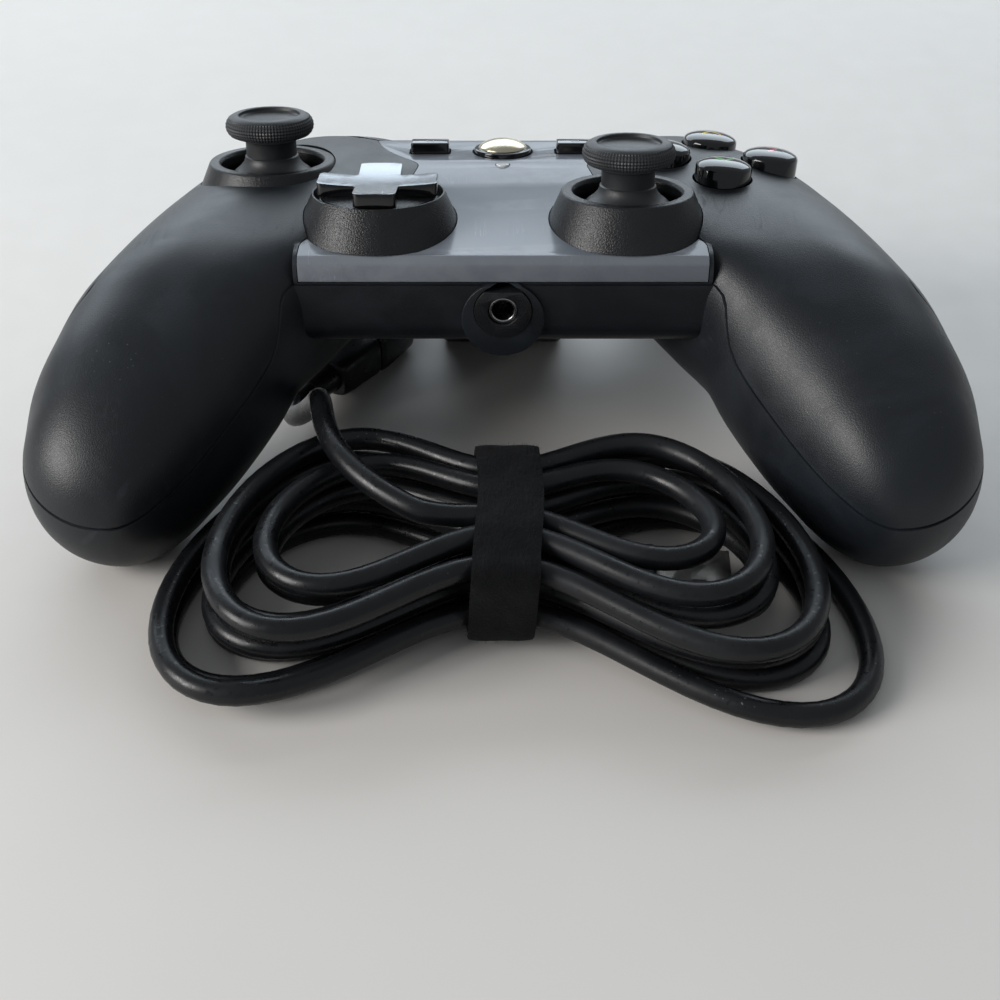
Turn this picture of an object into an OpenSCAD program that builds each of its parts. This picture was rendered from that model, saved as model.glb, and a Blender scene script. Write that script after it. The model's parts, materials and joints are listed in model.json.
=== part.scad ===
// Wired gamepad controller with its cord wound in a hank.
// X is to the player's right, Y to the back, Z up, and the table is at Z = 0.

/* [Body] */
// Overall width across the grips
body_w = 154; // [148:1:162]
// Reach of the grip tips in front of the middle
tip_reach = 50; // [46:1:54]
// Width of the bridge between the grips
bridge_w = 67; // [62:1:72]
// Reach of the bridge's front face in front of the middle
bridge_reach = 14.3; // [13:0.1:16]
// Height of the bridge's under edge above the table
bridge_low = 27.4; // [25:0.2:29]
// Reach of the back wall behind the middle
back_reach = 42; // [41:0.5:45]
// Wall of the two shells
wall = 2; // [1.6:0.1:2.4]
// Half width of the hump under the back
hump_half = 12; // [9:0.5:13]

/* [Face panel] */
// Height of the panel's front edge above the table
panel_h = 42.8; // [41:0.2:46]
// Thickness of the panel
panel_t = 2.2; // [1.6:0.1:2.6]
// Height of the panel's front lip
lip_h = 4.3; // [3:0.1:5]
// Half width of the panel behind the collars
panel_neck = 17; // [15.5:0.5:20]
// Lean of the stick and button plane towards the back
face_tilt = 9; // [6:0.5:12]
// Height of the collar rims above the panel's front edge
face_rise = 5.2; // [4:0.2:6.5]

/* [Sticks] */
// Right stick and direction pad, to each side of the middle
inner_x = 21; // [20:0.5:23]
// Right stick and direction pad, behind the middle
inner_v = 1.5; // [0:0.5:3]
// Left stick to the left of the middle
outer_x = 41.6; // [40:0.2:43]
// Left stick behind the middle
outer_v = 21.7; // [20:0.5:23]
// Collar across its rim
collar_rim_d = 22.2; // [21.4:0.2:24]
// Collar across its base
collar_base_d = 28.4; // [27:0.2:28.6]
// Opening in a stick's collar
collar_open_d = 19.2; // [18.6:0.2:20]
// Thumb cap diameter
cap_d = 15.5; // [13:0.5:16.5]
// Height of the cap's rim above the collar
cap_lift = 4.3; // [4:0.1:6]
// Neck under the cap
neck_d = 9; // [7:0.2:9.4]
// Depth of the tilt axes below the collar rim
pivot_drop = 10; // [9.5:0.1:11]

/* [Direction pad] */
// Cross from end to end
cross_span = 20.5; // [18:0.5:22]
// Width of a cross arm
cross_arm = 7.1; // [6:0.1:8]
// Thickness of the cross
cross_t = 2.8; // [2:0.1:3.5]
// Depth of the direction pad's collar below the stick collars
dpad_sink = 1.3; // [1:0.1:1.6]

/* [Buttons] */
// Middle of the four face buttons, to the right
pad_x = 38.8; // [37.6:0.2:40]
// Middle of the four face buttons, behind the middle
pad_v = 23.7; // [22:0.5:25]
// Distance of each face button from their middle
pad_r = 9.8; // [9.4:0.1:10.4]
// Outward lean of the face buttons
pad_roll = 4; // [2:0.5:7]
// Face button diameter
button_d = 9.9; // [8.6:0.1:10.4]
// Home button diameter
home_d = 10.5; // [9:0.1:11.5]
// Row of small buttons behind the middle
row_v = 29.8; // [29:0.1:30.4]
// Option buttons to each side of the middle
option_x = 13.4; // [12.6:0.2:13.8]
// Option button width
option_w = 7; // [5:0.2:7.4]
// Option button depth
option_d = 3.6; // [3:0.1:4.4]

/* [Triggers and bumpers] */
// Inner side of a trigger
trigger_x = 25.5; // [25:0.5:27]
// Width of a trigger
trigger_w = 20.5; // [18:0.5:21]
// Trigger axis behind the middle
trigger_y = 36; // [35.5:0.5:37]
// Trigger axis above the table
trigger_z = 29.4; // [28.8:0.2:30]
// Reach of the trigger's toe behind the middle
trigger_reach = 50; // [48:0.5:52]
// Trigger pin diameter
trigger_pin_d = 3; // [2:0.1:3.6]
// Inner end of a bumper
bumper_x = 13.5; // [13:0.5:16]
// Bumper pin diameter
bumper_pin_d = 2.5; // [2:0.1:3]

/* [Headset jack] */
// Height of the jack above the table
jack_z = 33.6; // [32.6:0.2:34.4]
// Bore of the jack
jack_bore_d = 3.6; // [3.4:0.05:3.8]
// Depth of the jack's bore
jack_depth = 13; // [11:0.5:14]
// Outside of the jack's boss
boss_d = 13.7; // [12:0.1:14.5]

/* [Cord] */
// Cord diameter
cord_d = 3.8; // [3:0.1:4]
// Turns in a layer of the hank
hank_turns = 2; // [1:1:2]
// Layers of the hank
hank_layers = 4; // [2:2:4]
// Width of the strap
strap_w = 10; // [9:1:14]
// Thickness of the strap
strap_t = 1.4; // [1:0.1:2]

/* [Hidden] */

// Gap between pieces that move past each other
free_gap = 0.35;
// Gap between pieces that are fitted together
fit_gap = 0.15;
// Radial gap of a pin in its hole
pin_gap = 0.05;

grip_half = body_w / 2;
bridge_half = bridge_w / 2;
front_y = -bridge_reach;
face_h = panel_h + face_rise;

// Grip stations from tip to back: place, inner and outer edge, underside, widest height,
// crest and how square the inner side is
grip = [
    [-36, bridge_half + 12.5, grip_half - 0.4, 0, 16, panel_h - 9.8, 2.4],
    [-28, bridge_half + 7.5, grip_half, 1.5, 18, panel_h - 5.6, 2.6],
    [-20, bridge_half + 2.6, grip_half - 1.6, 5.5, 21, panel_h - 2.2, 3.2],
    [-14, bridge_half - 0.6, grip_half - 3.4, 9.5, 24, panel_h, 4.5],
    [-8, bridge_half - 6, grip_half - 5.4, 13, 26, panel_h + 1.2, 5],
    [4, 20, grip_half - 9.2, 17, 28, panel_h + 2, 5],
    [16, 16, grip_half - 13.2, 18, 29, panel_h + 1.6, 5],
    [28, 14, grip_half - 18.8, 18, 30, panel_h + 1, 4],
    [38, 14, grip_half - 27.2, 20, 31, panel_h - 0.8, 3]
];
tip_y = grip[0][0];
heel_y = grip[len(grip) - 1][0];
tip_len = tip_reach + tip_y;
heel_len = back_reach + 2 - heel_y;
ring_n = 24;
outer_n = 2.1;
under_n = 2;

// Parting line of the two shells, seen from the side
part_line = [
    [-tip_reach - 10, 9.5], [-46, 17], [-33, 22.3], [-22, 28.6], [front_y, panel_h - lip_h], [12, 36],
    [26, 33.2], [60, 33]
];
function part_z(y) = lookup(y, part_line);

// Top line of the face panel, seen from the side
crease_y = 21.4;
panel_back = 37;
crease_h = panel_h + 1.1;
panel_back_h = panel_h - 1;
panel_line = [[front_y + 1, panel_h], [crease_y, crease_h], [panel_back, panel_back_h]];

// Reading of a station column at any place along the grip
function seg_of(y, i = 0) = (i >= len(grip) - 2 || y <= grip[i + 1][0]) ? i : seg_of(y, i + 1);
function slope_of(k, i) =
    let (a = max(i - 1, 0), b = min(i + 1, len(grip) - 1))
    (grip[b][k] - grip[a][k]) / (grip[b][0] - grip[a][0]);
function station(k, y) =
    let (
        i = seg_of(y),
        h = grip[i + 1][0] - grip[i][0],
        t = (y - grip[i][0]) / h
    )
    (2 * t ^ 3 - 3 * t ^ 2 + 1) * grip[i][k] + (t ^ 3 - 2 * t ^ 2 + t) * h * slope_of(k, i)
    + (3 * t ^ 2 - 2 * t ^ 3) * grip[i + 1][k] + (t ^ 3 - t ^ 2) * h * slope_of(k, i + 1);

// One section of the grip: y picks the shape, place is where it stands, and grow shrinks its outer side,
// inner side, top and underside towards its middle
function squared(c, n) = sign(c) * pow(abs(c), 2 / n);
function section(y, place, inset, grow) =
    let (
        x0 = station(1, y),
        x1 = station(2, y),
        low = station(3, y),
        mid = station(4, y),
        top = station(5, y),
        inner_n = station(6, y),
        half = (x1 - x0) / 2 - inset
    )
    [for (i = [0 : ring_n - 1])
        let (
            c = cos(360 * i / ring_n),
            s = sin(360 * i / ring_n),
            n = c > 0 ? outer_n : s < 0 ? under_n : inner_n,
            tall = (s > 0 ? top - mid : mid - low) - inset,
            across = c > 0 ? grow[0] : grow[1],
            up = s > 0 ? grow[2] : grow[3]
        )
        [(x0 + x1) / 2 + across * half * squared(c, n), place, mid + up * tall * squared(s, n)]];

// Closing of the tip: each side leaves the first section at the slope that it arrives with
tip_half = (grip[0][2] - grip[0][1]) / 2;
tip_bends = [for (b = [
    -slope_of(2, 0) / tip_half, slope_of(1, 0) / tip_half,
    -slope_of(5, 0) / (grip[0][5] - grip[0][4]), slope_of(3, 0) / (grip[0][4] - grip[0][3])
]) min(1, 1 + 2 * tip_len * b)];
function closing(s) = [for (k = tip_bends) sqrt((1 - s) * (1 + k * s))];
function even(g) = [g, g, g, g];

// Rings of points joined into one closed skin with a point at each end
function skin_faces(rings, n) = concat(
    [for (r = [0 : rings - 2], i = [0 : n - 1]) [r * n + i, (r + 1) * n + (i + 1) % n, (r + 1) * n + i]],
    [for (r = [0 : rings - 2], i = [0 : n - 1]) [r * n + i, r * n + (i + 1) % n, (r + 1) * n + (i + 1) % n]],
    [for (i = [0 : n - 1]) [rings * n, (i + 1) % n, i]],
    [for (i = [0 : n - 1]) [rings * n + 1, (rings - 1) * n + i, (rings - 1) * n + (i + 1) % n]]
);
function middle_of(ring) = [for (k = [0 : 2]) (min([for (p = ring) p[k]]) + max([for (p = ring) p[k]])) / 2];

module wing(inset) {
    tip_turns = [78, 62, 46, 31, 15];
    heel_turns = [20, 42, 64];
    span = 15;
    rings = concat(
        [for (a = tip_turns) section(tip_y, tip_y - (tip_len - inset) * sin(a), inset, closing(sin(a)))],
        [for (i = [0 : span]) let (y = tip_y + (heel_y - tip_y) * i / span) section(y, y, inset, even(1))],
        [for (a = heel_turns) section(heel_y, heel_y + (heel_len - inset) * sin(a), inset, even(cos(a)))]
    );
    tip = [(grip[0][1] + grip[0][2]) / 2, tip_y - tip_len + inset, grip[0][4]];
    last = middle_of(rings[len(rings) - 1]);
    heel = [last[0], heel_y + heel_len - inset, last[2]];
    points = concat([for (r = rings) each r], [tip, heel]);
    polyhedron(points, skin_faces(len(rings), ring_n), convexity = 4);
}

// Side profiles are drawn in Y and Z and drawn out along X
module along_x(half) {
    rotate([90, 0, 90]) linear_extrude(2 * half, center = true) children();
}

module middle_profile() {
    offset(r = 2.4, $fn = 24) offset(delta = -2.4) polygon([
        [front_y, panel_h], [front_y, bridge_low], [2, bridge_low - 5], [14, bridge_low - 10],
        [32, bridge_low - 12], [back_reach - 1, bridge_low - 8], [back_reach, panel_h - 5],
        [panel_back + 1, panel_back_h], [crease_y, crease_h]
    ]);
}

// Hump under the back, with the flat pad that the body rests on
module hump_profile() {
    polygon([
        [2, bridge_low - 3], [33, 0], [39.5, 0], [back_reach, 8], [back_reach, panel_h - 12],
        [2, panel_h - 12]
    ]);
}

module hump(inset) {
    intersection() {
        along_x(hump_half + 4 - inset) offset(delta = -inset) hump_profile();
        rotate([90, 0, 0]) linear_extrude(200, center = true) polygon([
            [-hump_half + inset, -1], [hump_half - inset, -1],
            [hump_half + 4 - inset, panel_h], [-hump_half - 4 + inset, panel_h]
        ]);
    }
}

module body_form(inset) {
    wing(inset);
    mirror([1, 0, 0]) wing(inset);
    along_x(bridge_half + 0.8) offset(delta = -inset) middle_profile();
    hump(inset);
}

// Both sides alike
module pair() {
    children();
    mirror([1, 0, 0]) children();
}

// Places on the leaning plane of the sticks and buttons, measured from the collar rims
module on_face(x, v, w = 0) {
    translate([0, 0, face_h]) rotate([-face_tilt, 0, 0]) translate([x, v, w]) children();
}

// Plan of the face panel
module panel_outline() {
    offset(r = -3, $fn = 32) offset(delta = 3) union() {
        pair() polygon([
            [0, -20], [bridge_half, -20], [bridge_half, -9], [bridge_half - 2.5, -5],
            [inner_x, inner_v], [0, inner_v]
        ]);
        pair() polygon([[0, -10], [panel_neck, -10], [panel_neck, crease_y], [panel_neck + 1.5, 60],
            [0, 60]]);
    }
}

// Space of the panel in the shells, grown by a gap or a wall
module panel_space(grow) {
    lip_back = front_y + panel_t + grow;
    intersection() {
        linear_extrude(2 * panel_h) offset(delta = grow) panel_outline();
        along_x(grip_half) polygon(concat(
            [[-60, panel_h - lip_h - grow], [lip_back, panel_h - lip_h - grow]],
            [[lip_back, panel_h - panel_t - grow]],
            [for (p = [panel_line[1], panel_line[2]]) [p[0], p[1] - panel_t - grow]],
            [[back_reach + 9, panel_back_h - panel_t - grow], [back_reach + 9, 90], [-60, 90]]
        ));
    }
}

pocket_y = trigger_y - 3.4;
pocket_top = trigger_z + 3.5;

// Space in which a trigger swings
module trigger_space(grow) {
    translate([trigger_x - free_gap - grow, pocket_y - grow, -1 - grow])
        cube([trigger_w + 2 * (free_gap + grow), 40, pocket_top + 1 + 2 * grow]);
}

bumper_low = panel_h - 6.7;
// Front edge of a bumper, seen from above: it runs behind the panel and the far button
bumper_edge = [
    [bumper_x, panel_back + 0.4], [24, panel_back + 0.4], [30, panel_back + 2.8],
    [34, panel_back + 3.6], [42, panel_back + 3.6], [47, panel_back - 0.2], [grip_half, panel_back - 0.2]
];

// Space of a bumper in the corner of the shells; slack opens it towards the outer end
module bumper_space(grow, slack) {
    translate([0, 0, bumper_low - grow]) linear_extrude(40) polygon(concat(
        [for (p = bumper_edge) [p[0] - (p[0] == bumper_x ? grow : 0),
        p[1] - grow - (p[0] - bumper_x) * slack]],
        [[grip_half, 80], [bumper_x - grow, 80]]
    ));
}

// Hole for the rear cover between the bumpers
module cover_space(grow) {
    translate([-bumper_x - 1, panel_back + 0.3 - grow, bumper_low - 3 - grow])
        cube([2 * bumper_x + 2, 40, 40]);
    translate([-pin_x - 2.6 - grow, panel_back + 0.3 - grow, bumper_low - 3 - grow])
        cube([2 * (pin_x + 2.6 + grow), 4 + 2 * grow, 3.4 + grow]);
}

module hollows(grow) {
    panel_space(fit_gap + grow);
    pair() trigger_space(grow);
    pair() bumper_space(free_gap + grow, 0.035);
    cover_space(fit_gap + grow);
}

// Outer skin with the spaces above let into it, one wall thick
module skin() {
    difference() {
        body_form(0);
        hollows(0);
        difference() {
            body_form(wall);
            hollows(wall);
        }
    }
}

module above_parting() {
    along_x(grip_half + 5) polygon(concat(part_line, [[60, 90], [-tip_reach - 10, 90]]));
}

// Collar of a stick: a cone that stands in a hole of the same cone
collar_drop = 7;
spigot_r = collar_base_d / 2 - 1.5;
module collar_cone(grow) {
    rotate_extrude($fn = 64) polygon([
        [0, 1], [collar_rim_d / 2 + grow, 1], [collar_rim_d / 2 + grow, 0],
        [collar_base_d / 2 + grow, -collar_drop], [spigot_r + grow, -collar_drop - grow],
        [spigot_r + grow, -collar_drop - 5], [0, -collar_drop - 5]
    ]);
}

module at_left_stick() { on_face(-outer_x, outer_v) children(); }
module at_right_stick() { on_face(inner_x, inner_v) children(); }
module at_dpad() { on_face(-inner_x, inner_v) children(); }

module collar_holes() {
    at_left_stick() collar_cone(fit_gap);
    at_right_stick() collar_cone(fit_gap);
    at_dpad() collar_cone(fit_gap);
}

// Places of the face buttons, leaning outwards with the shell
module at_pad(turn) {
    on_face(pad_x, pad_v) rotate([0, pad_roll, 0]) translate([pad_r * sin(turn), pad_r * cos(turn), 0])
        children();
}

// Case screws: places seen from above
screws = [[37, -4], [-37, -4], [59, -20], [-59, -20], [0, 10]];
screw_d = 2;
screw_head_d = 4.2;
screw_len = 8.5;
screw_grip = 5;
board_drop = pivot_drop + 6.4;
board_t = 1.6;

module at_screws() {
    for (s = screws) translate([s[0], s[1], part_z(s[1])]) children();
}

// Everything in the shell below the board's underside
module under_board() {
    on_face(0, 0) translate([-100, -100, -200 - board_drop - board_t]) cube([200, 200, 200]);
}

motor_r = 6;
motor_len = 12;
motor_x = grip_half - 28.6;
motor_y = -29.8;
motor_z = 18;

top_color = [0.06, 0.065, 0.08];
grey_gloss = [0.36, 0.37, 0.4];

module top_shell() {
    color(top_color) resize([0, 0, 0]) difference() {
        union() {
            intersection() {
                skin();
                above_parting();
            }
            intersection() {
                at_screws() translate([0, 0, fit_gap]) cylinder(r = 2.8, h = 40, $fn = 20);
                body_form(wall / 2);
                difference() {
                    above_parting();
                    hollows(wall / 2);
                }
            }
        }
        collar_holes();
        for (a = [0 : 90 : 270]) at_pad(a) translate([0, 0, -9])
            cylinder(d = button_d + 2 * free_gap, h = 20, $fn = 40);
        for (a = [0 : 90 : 270]) at_pad(a) translate([0, 0, flange_top + free_gap - 12])
            cylinder(r = button_d / 2 + flange_out + free_gap, h = 12, $fn = 40);
        on_face(0, row_v, -12) linear_extrude(30)
            square([2 * option_x + option_w + 4, home_d + 2], center = true);
        on_face(0, crease_y, -12) cylinder(r = 2, h = 30, $fn = 20);
        at_screws() translate([0, 0, -1]) cylinder(d = screw_d, h = screw_len - screw_grip + 1.5, $fn = 20);
    }
}

module bottom_shell() {
    color(top_color) difference() {
        resize([0, 0, 0]) difference() {
            union() {
                difference() {
                    skin();
                    above_parting();
                }
                intersection() {
                    translate([0, front_y - 0.7, jack_z - 1.6]) rotate([-90, 0, 0])
                        cylinder(d = boss_d, h = 8, $fn = 40);
                    difference() {
                        translate([-20, -40, 0]) cube([40, 80, 60]);
                        above_parting();
                    }
                }
                intersection() {
                    union() {
                        at_screws() translate([0, 0, -40]) cylinder(r = 3, h = 40, $fn = 20);
                        intersection() {
                            for (x = [-28, 28], y = [6, 20]) translate([x, y, 0])
                                cylinder(r = 2.4, h = 60, $fn = 16);
                            under_board();
                        }
                        pair() for (x = [motor_x + 2, motor_x + motor_len - 3.5])
                            translate([x, motor_y - 12, 0]) cube([1.5, 24, motor_z]);
                    }
                    body_form(wall / 2);
                }
            }
            pair() translate([motor_x - 1, motor_y, motor_z]) rotate([0, 90, 0])
                cylinder(r = motor_r + fit_gap, h = motor_len + 2, $fn = 40);
            at_screws() translate([0, 0, -screw_grip - 60])
                cylinder(d = screw_head_d + 2 * fit_gap, h = 60, $fn = 20);
            at_screws() translate([0, 0, -9]) cylinder(d = screw_d + 2 * fit_gap, h = 10, $fn = 20);
            pair() translate([0, trigger_y, trigger_z]) rotate([0, 90, 0])
                cylinder(d = trigger_pin_d + 2 * fit_gap, h = grip_half, $fn = 24);
            translate([0, back_reach - 6, boot_z]) rotate([-90, 0, 0])
                cylinder(d = boot_d + 2 * fit_gap, h = 12, $fn = 40);
        }
        translate([0, front_y - 5, jack_z]) rotate([-90, 0, 0])
            cylinder(d = jack_trim_d + 2 * fit_gap, h = 20);
    }
}

module face_panel() {
    color(grey_gloss) difference() {
        intersection() {
            linear_extrude(2 * panel_h) panel_outline();
            along_x(grip_half) polygon(concat(
                [[front_y, panel_h - lip_h], [front_y, panel_h - 1]], panel_line,
                [for (p = [panel_line[2], panel_line[1]]) [p[0], p[1] - panel_t]],
                [[front_y + panel_t, panel_h - panel_t], [front_y + panel_t, panel_h - lip_h]]
            ));
        }
        at_right_stick() collar_cone(fit_gap);
        at_dpad() collar_cone(fit_gap);
        for (x = [-option_x, option_x]) on_face(x, row_v, -10) linear_extrude(20)
            square([option_w + 2 * free_gap, option_d + 2 * free_gap], center = true);
        on_face(0, row_v, -10) cylinder(d = home_d + 2 * free_gap, h = 20, $fn = 48);
        on_face(0, crease_y, -10) cylinder(d = light_d + 2 * fit_gap, h = 20, $fn = 24);
    }
}

// Rear cover between the bumpers: carries their pins
pin_x = bumper_x + 3;
pin_y = panel_back + 2.4;
pin_deep = 1.7;
boot_z = panel_h - 17.6;
boot_d = 8.4;
module rear_cover() {
    half = bumper_x - free_gap;
    color(top_color) {
        along_x(half) polygon([
            [panel_back + 0.5, bumper_low - 2.6], [panel_back + 0.5, panel_back_h - 0.3],
            [back_reach - 1.5, panel_back_h - 2.2], [back_reach, panel_h - 5], [back_reach, bumper_low - 2.6]
        ]);
        pair() translate([half - 2, panel_back + 0.5, bumper_low - 2.6]) cube([pin_x - half + 4, 3.4, 2]);
        pair() translate([pin_x, pin_y, bumper_low - 1])
            cylinder(d = bumper_pin_d, h = pin_deep + 1, $fn = 24);
    }
}

light_d = 2.4;
module status_light() {
    color("white") on_face(0, crease_y) {
        translate([0, 0, -board_drop + 2]) cylinder(d = light_d, h = board_drop - 2.7, $fn = 32);
        translate([0, 0, -board_drop]) cylinder(d = light_d + 1.6, h = 2, $fn = 32);
    }
}

module stick_collar() {
    color([0.05, 0.05, 0.055]) rotate_extrude($fn = 64) polygon([
        [collar_open_d / 2, -0.6], [collar_open_d / 2 + 0.5, 0], [collar_rim_d / 2 - 0.4, 0],
        [collar_rim_d / 2, -0.4], [collar_base_d / 2, -collar_drop], [spigot_r, -collar_drop],
        [spigot_r, -collar_drop - 2.4], [spigot_r - 1.5, -collar_drop - 2.4],
        [spigot_r - 1.5, -collar_drop + 0.5],
        [collar_open_d / 2, -2.4]
    ]);
}

module left_stick_collar() { at_left_stick() stick_collar(); }
module right_stick_collar() { at_right_stick() stick_collar(); }

well_r = 9;
dpad_rim_r = collar_rim_d / 2 + (collar_base_d - collar_rim_d) / 2 * dpad_sink / collar_drop;
module dpad_collar() {
    color([0.05, 0.05, 0.055]) at_dpad() rotate_extrude($fn = 64) polygon([
        [well_r, -1.6 - dpad_sink], [well_r + 0.6, -0.7 - dpad_sink], [dpad_rim_r - 1, -dpad_sink],
        [dpad_rim_r, -0.4 - dpad_sink], [collar_base_d / 2, -collar_drop], [spigot_r, -collar_drop],
        [spigot_r, -collar_drop - 2.4], [spigot_r - 1.5, -collar_drop - 2.4],
        [spigot_r - 1.5, -collar_drop + 0.5],
        [well_r, -3 - dpad_sink]
    ]);
}

// Stick mechanism, drawn round the point where its two tilt axes cross
post_r = 2;
cross_pin_r = 0.9;
rocker_pin_r = 1.1;
frame_half = 7.6;
frame_in = 6.6;
rocker_in = post_r + free_gap;
cap_h = 3.9;
cap_depth = 1.2;
// Dust dome under the neck, a part of a ball round the pivot, from the neck to its edge
dome_r = pivot_drop - 0.6;
dome_t = 0.6;
dome_top = asin(neck_d / 2 / dome_r);
dome_edge = 50;
function dome_z(r, a) = r * cos(a) - pivot_drop;
module at_pivot() { translate([0, 0, -pivot_drop]) children(); }

module stick_cap() {
    r = cap_d / 2;
    color([0.04, 0.04, 0.045]) rotate_extrude($fn = 64) polygon(concat(
        [[0, cap_lift - 1], [0, cap_lift + cap_h - cap_depth],
        [r * 0.45, cap_lift + cap_h - cap_depth * 0.75],
        [r - 1.8, cap_lift + cap_h], [r - 0.7, cap_lift + cap_h], [r, cap_lift + cap_h - 0.8],
        [r, cap_lift + 0.5],
        [r - 0.5, cap_lift + 0.2], [neck_d / 2 + 0.5, cap_lift - 0.35], [neck_d / 2, cap_lift - 0.9],
        [neck_d / 2, dome_z(dome_r, dome_top)]],
        [for (a = [dome_top + 6, dome_top + 14, dome_edge]) [dome_r * sin(a), dome_z(dome_r, a)]],
        [for (a = [dome_edge, dome_top + 14, dome_top + 6, dome_top])
            [(dome_r - dome_t) * sin(a), dome_z(dome_r - dome_t, a)]],
        [[post_r + pin_gap, dome_z(dome_r - dome_t, dome_top)], [post_r + pin_gap, cap_lift - 1]]
    ));
}

module stick_post() {
    color("gainsboro") at_pivot() {
        translate([0, 0, -2.5]) cylinder(r = post_r, h = pivot_drop + cap_lift + 1.4, $fn = 32);
        rotate([0, 90, 0]) cylinder(r = cross_pin_r, h = 7.6, center = true, $fn = 24);
    }
}

// Lower rocker: turns about the axis across the frame and carries the post's cross pin
module stick_rocker() {
    color("dimgray") at_pivot() difference() {
        union() {
            translate([-4, -6.2, -2]) cube([8, 12.4, 2.6]);
            translate([-4, -1.6, -2]) cube([8, 3.2, 3.4]);
            rotate([90, 0, 0]) cylinder(r = rocker_pin_r, h = 18.4, center = true, $fn = 32);
        }
        translate([-rocker_in, -3.4, -4]) cube([2 * rocker_in, 6.8, 8]);
        rotate([0, 90, 0]) cylinder(r = cross_pin_r + pin_gap, h = 20, center = true, $fn = 24);
    }
}

// Upper rocker: an arch over the lower one with a slot that the post tilts
module stick_arch() {
    color("slategray") at_pivot() difference() {
        union() {
            translate([-6.2, -3.2, 3.4]) cube([12.4, 6.4, 1]);
            for (x = [-6.2, 5.2]) translate([x, -2, -1.3]) cube([1, 4, 5]);
            for (s = [-1, 1]) translate([s * 7.1, 0, 0]) rotate([0, 90, 0])
                cylinder(r = rocker_pin_r, h = 2.6, center = true, $fn = 32);
        }
        translate([-4.2, -rocker_in, 0]) cube([8.4, 2 * rocker_in, 6]);
    }
}

module stick_frame() {
    tall = board_drop - pivot_drop + 1.6;
    color("silver") at_pivot() difference() {
        translate([-frame_half, -frame_half, 1.6 - tall]) cube([2 * frame_half, 2 * frame_half, tall]);
        translate([-frame_in, -frame_in, 2.8 - tall]) cube([2 * frame_in, 2 * frame_in, tall]);
        rotate([0, 90, 0]) cylinder(r = rocker_pin_r + pin_gap, h = 40, center = true, $fn = 32);
        for (z = [0, -0.7]) translate([0, 0, z]) rotate([90, 0, 0])
            cylinder(r = rocker_pin_r + free_gap, h = 40, center = true, $fn = 32);
    }
}

// Lift: holds the lower rocker's end and goes down with it onto the click switch
lift_y = frame_half + 0.3;
module stick_lift() {
    color("black") at_pivot() difference() {
        translate([-2.2, lift_y, -3.5]) cube([4.4, 1.3, 5.2]);
        rotate([90, 0, 0]) cylinder(r = rocker_pin_r + pin_gap, h = 40, center = true, $fn = 32);
    }
}

module left_stick_cap() { at_left_stick() stick_cap(); }
module left_stick_post() { at_left_stick() stick_post(); }
module left_stick_rocker() { at_left_stick() stick_rocker(); }
module left_stick_arch() { at_left_stick() stick_arch(); }
module left_stick_lift() { at_left_stick() stick_lift(); }
module left_stick_frame() { at_left_stick() stick_frame(); }
module right_stick_cap() { at_right_stick() stick_cap(); }
module right_stick_post() { at_right_stick() stick_post(); }
module right_stick_rocker() { at_right_stick() stick_rocker(); }
module right_stick_arch() { at_right_stick() stick_arch(); }
module right_stick_lift() { at_right_stick() stick_lift(); }
module right_stick_frame() { at_right_stick() stick_frame(); }

// Two angle sensors beside each stick, with holes that the rocker pins turn in
module sensor_pair() {
    at_pivot() {
        difference() {
            translate([frame_half + 0.05, -4.6, pivot_drop - board_drop]) cube([1.7, 9.2, 8.4]);
            rotate([0, 90, 0]) cylinder(r = rocker_pin_r + free_gap, h = 40, center = true, $fn = 32);
        }
        difference() {
            translate([-4.6, -frame_half - 1.75, pivot_drop - board_drop]) cube([9.2, 1.7, 8.4]);
            for (z = [0, -0.7]) translate([0, 0, z]) rotate([90, 0, 0])
                cylinder(r = rocker_pin_r + free_gap, h = 40, center = true, $fn = 32);
        }
    }
}

module stick_sensors() {
    color("darkgreen") {
        at_left_stick() sensor_pair();
        at_right_stick() sensor_pair();
    }
}

// Click switches: one under each stick's lift and one under each small button
module tact_switch() {
    translate([-1.9, -1.3, 0]) cube([3.8, 2.6, 1.3]);
    translate([0, 0, 1.3]) cylinder(r = 0.9, h = 0.6, $fn = 24);
}

switch_h = 1.9;
module tact_switches() {
    color("darkslategray") {
        at_left_stick() translate([0, lift_y + 1.3, -board_drop]) tact_switch();
        at_right_stick() translate([0, lift_y + 1.3, -board_drop]) tact_switch();
        for (x = [-option_x, 0, option_x]) on_face(x, row_v, -board_drop) tact_switch();
    }
}

// Direction pad: cross on a two-axis trunnion, on a tower that stands on the board
dpad_axis = 3;
dpad_low = dpad_axis + dpad_sink;
trunnion_r = 0.8;
module dpad_cross() {
    half = cross_span / 2;
    color([0.5, 0.52, 0.55]) at_dpad() translate([0, 0, -dpad_sink]) difference() {
        union() {
            translate([0, 0, 1.1]) linear_extrude(cross_t) offset(r = 0.8, $fn = 24)
                offset(delta = -0.8) union() {
                square([cross_span, cross_arm], center = true);
                square([cross_arm, cross_span], center = true);
            }
            difference() {
                translate([0, 0, -2]) cylinder(r = well_r - 1, h = 3.1, $fn = 48);
                translate([0, 0, -3]) cylinder(r = well_r - 2.4, h = 4.1, $fn = 48);
            }
            for (s = [-1, 1]) translate([-1.8, s * 3.4 - 0.8, -dpad_axis - 1.5])
                cube([3.6, 1.6, dpad_axis + 2.8]);
            for (a = [0 : 90 : 270]) rotate([0, 0, a]) translate([well_r - 1.9, 0, dpad_sink - mat_gap])
                cylinder(r = 0.9, h = mat_gap - dpad_sink - 1, $fn = 24);
        }
        translate([0, 0, -dpad_axis]) rotate([90, 0, 0])
            cylinder(r = trunnion_r + pin_gap, h = 20, center = true, $fn = 24);
    }
}

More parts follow.
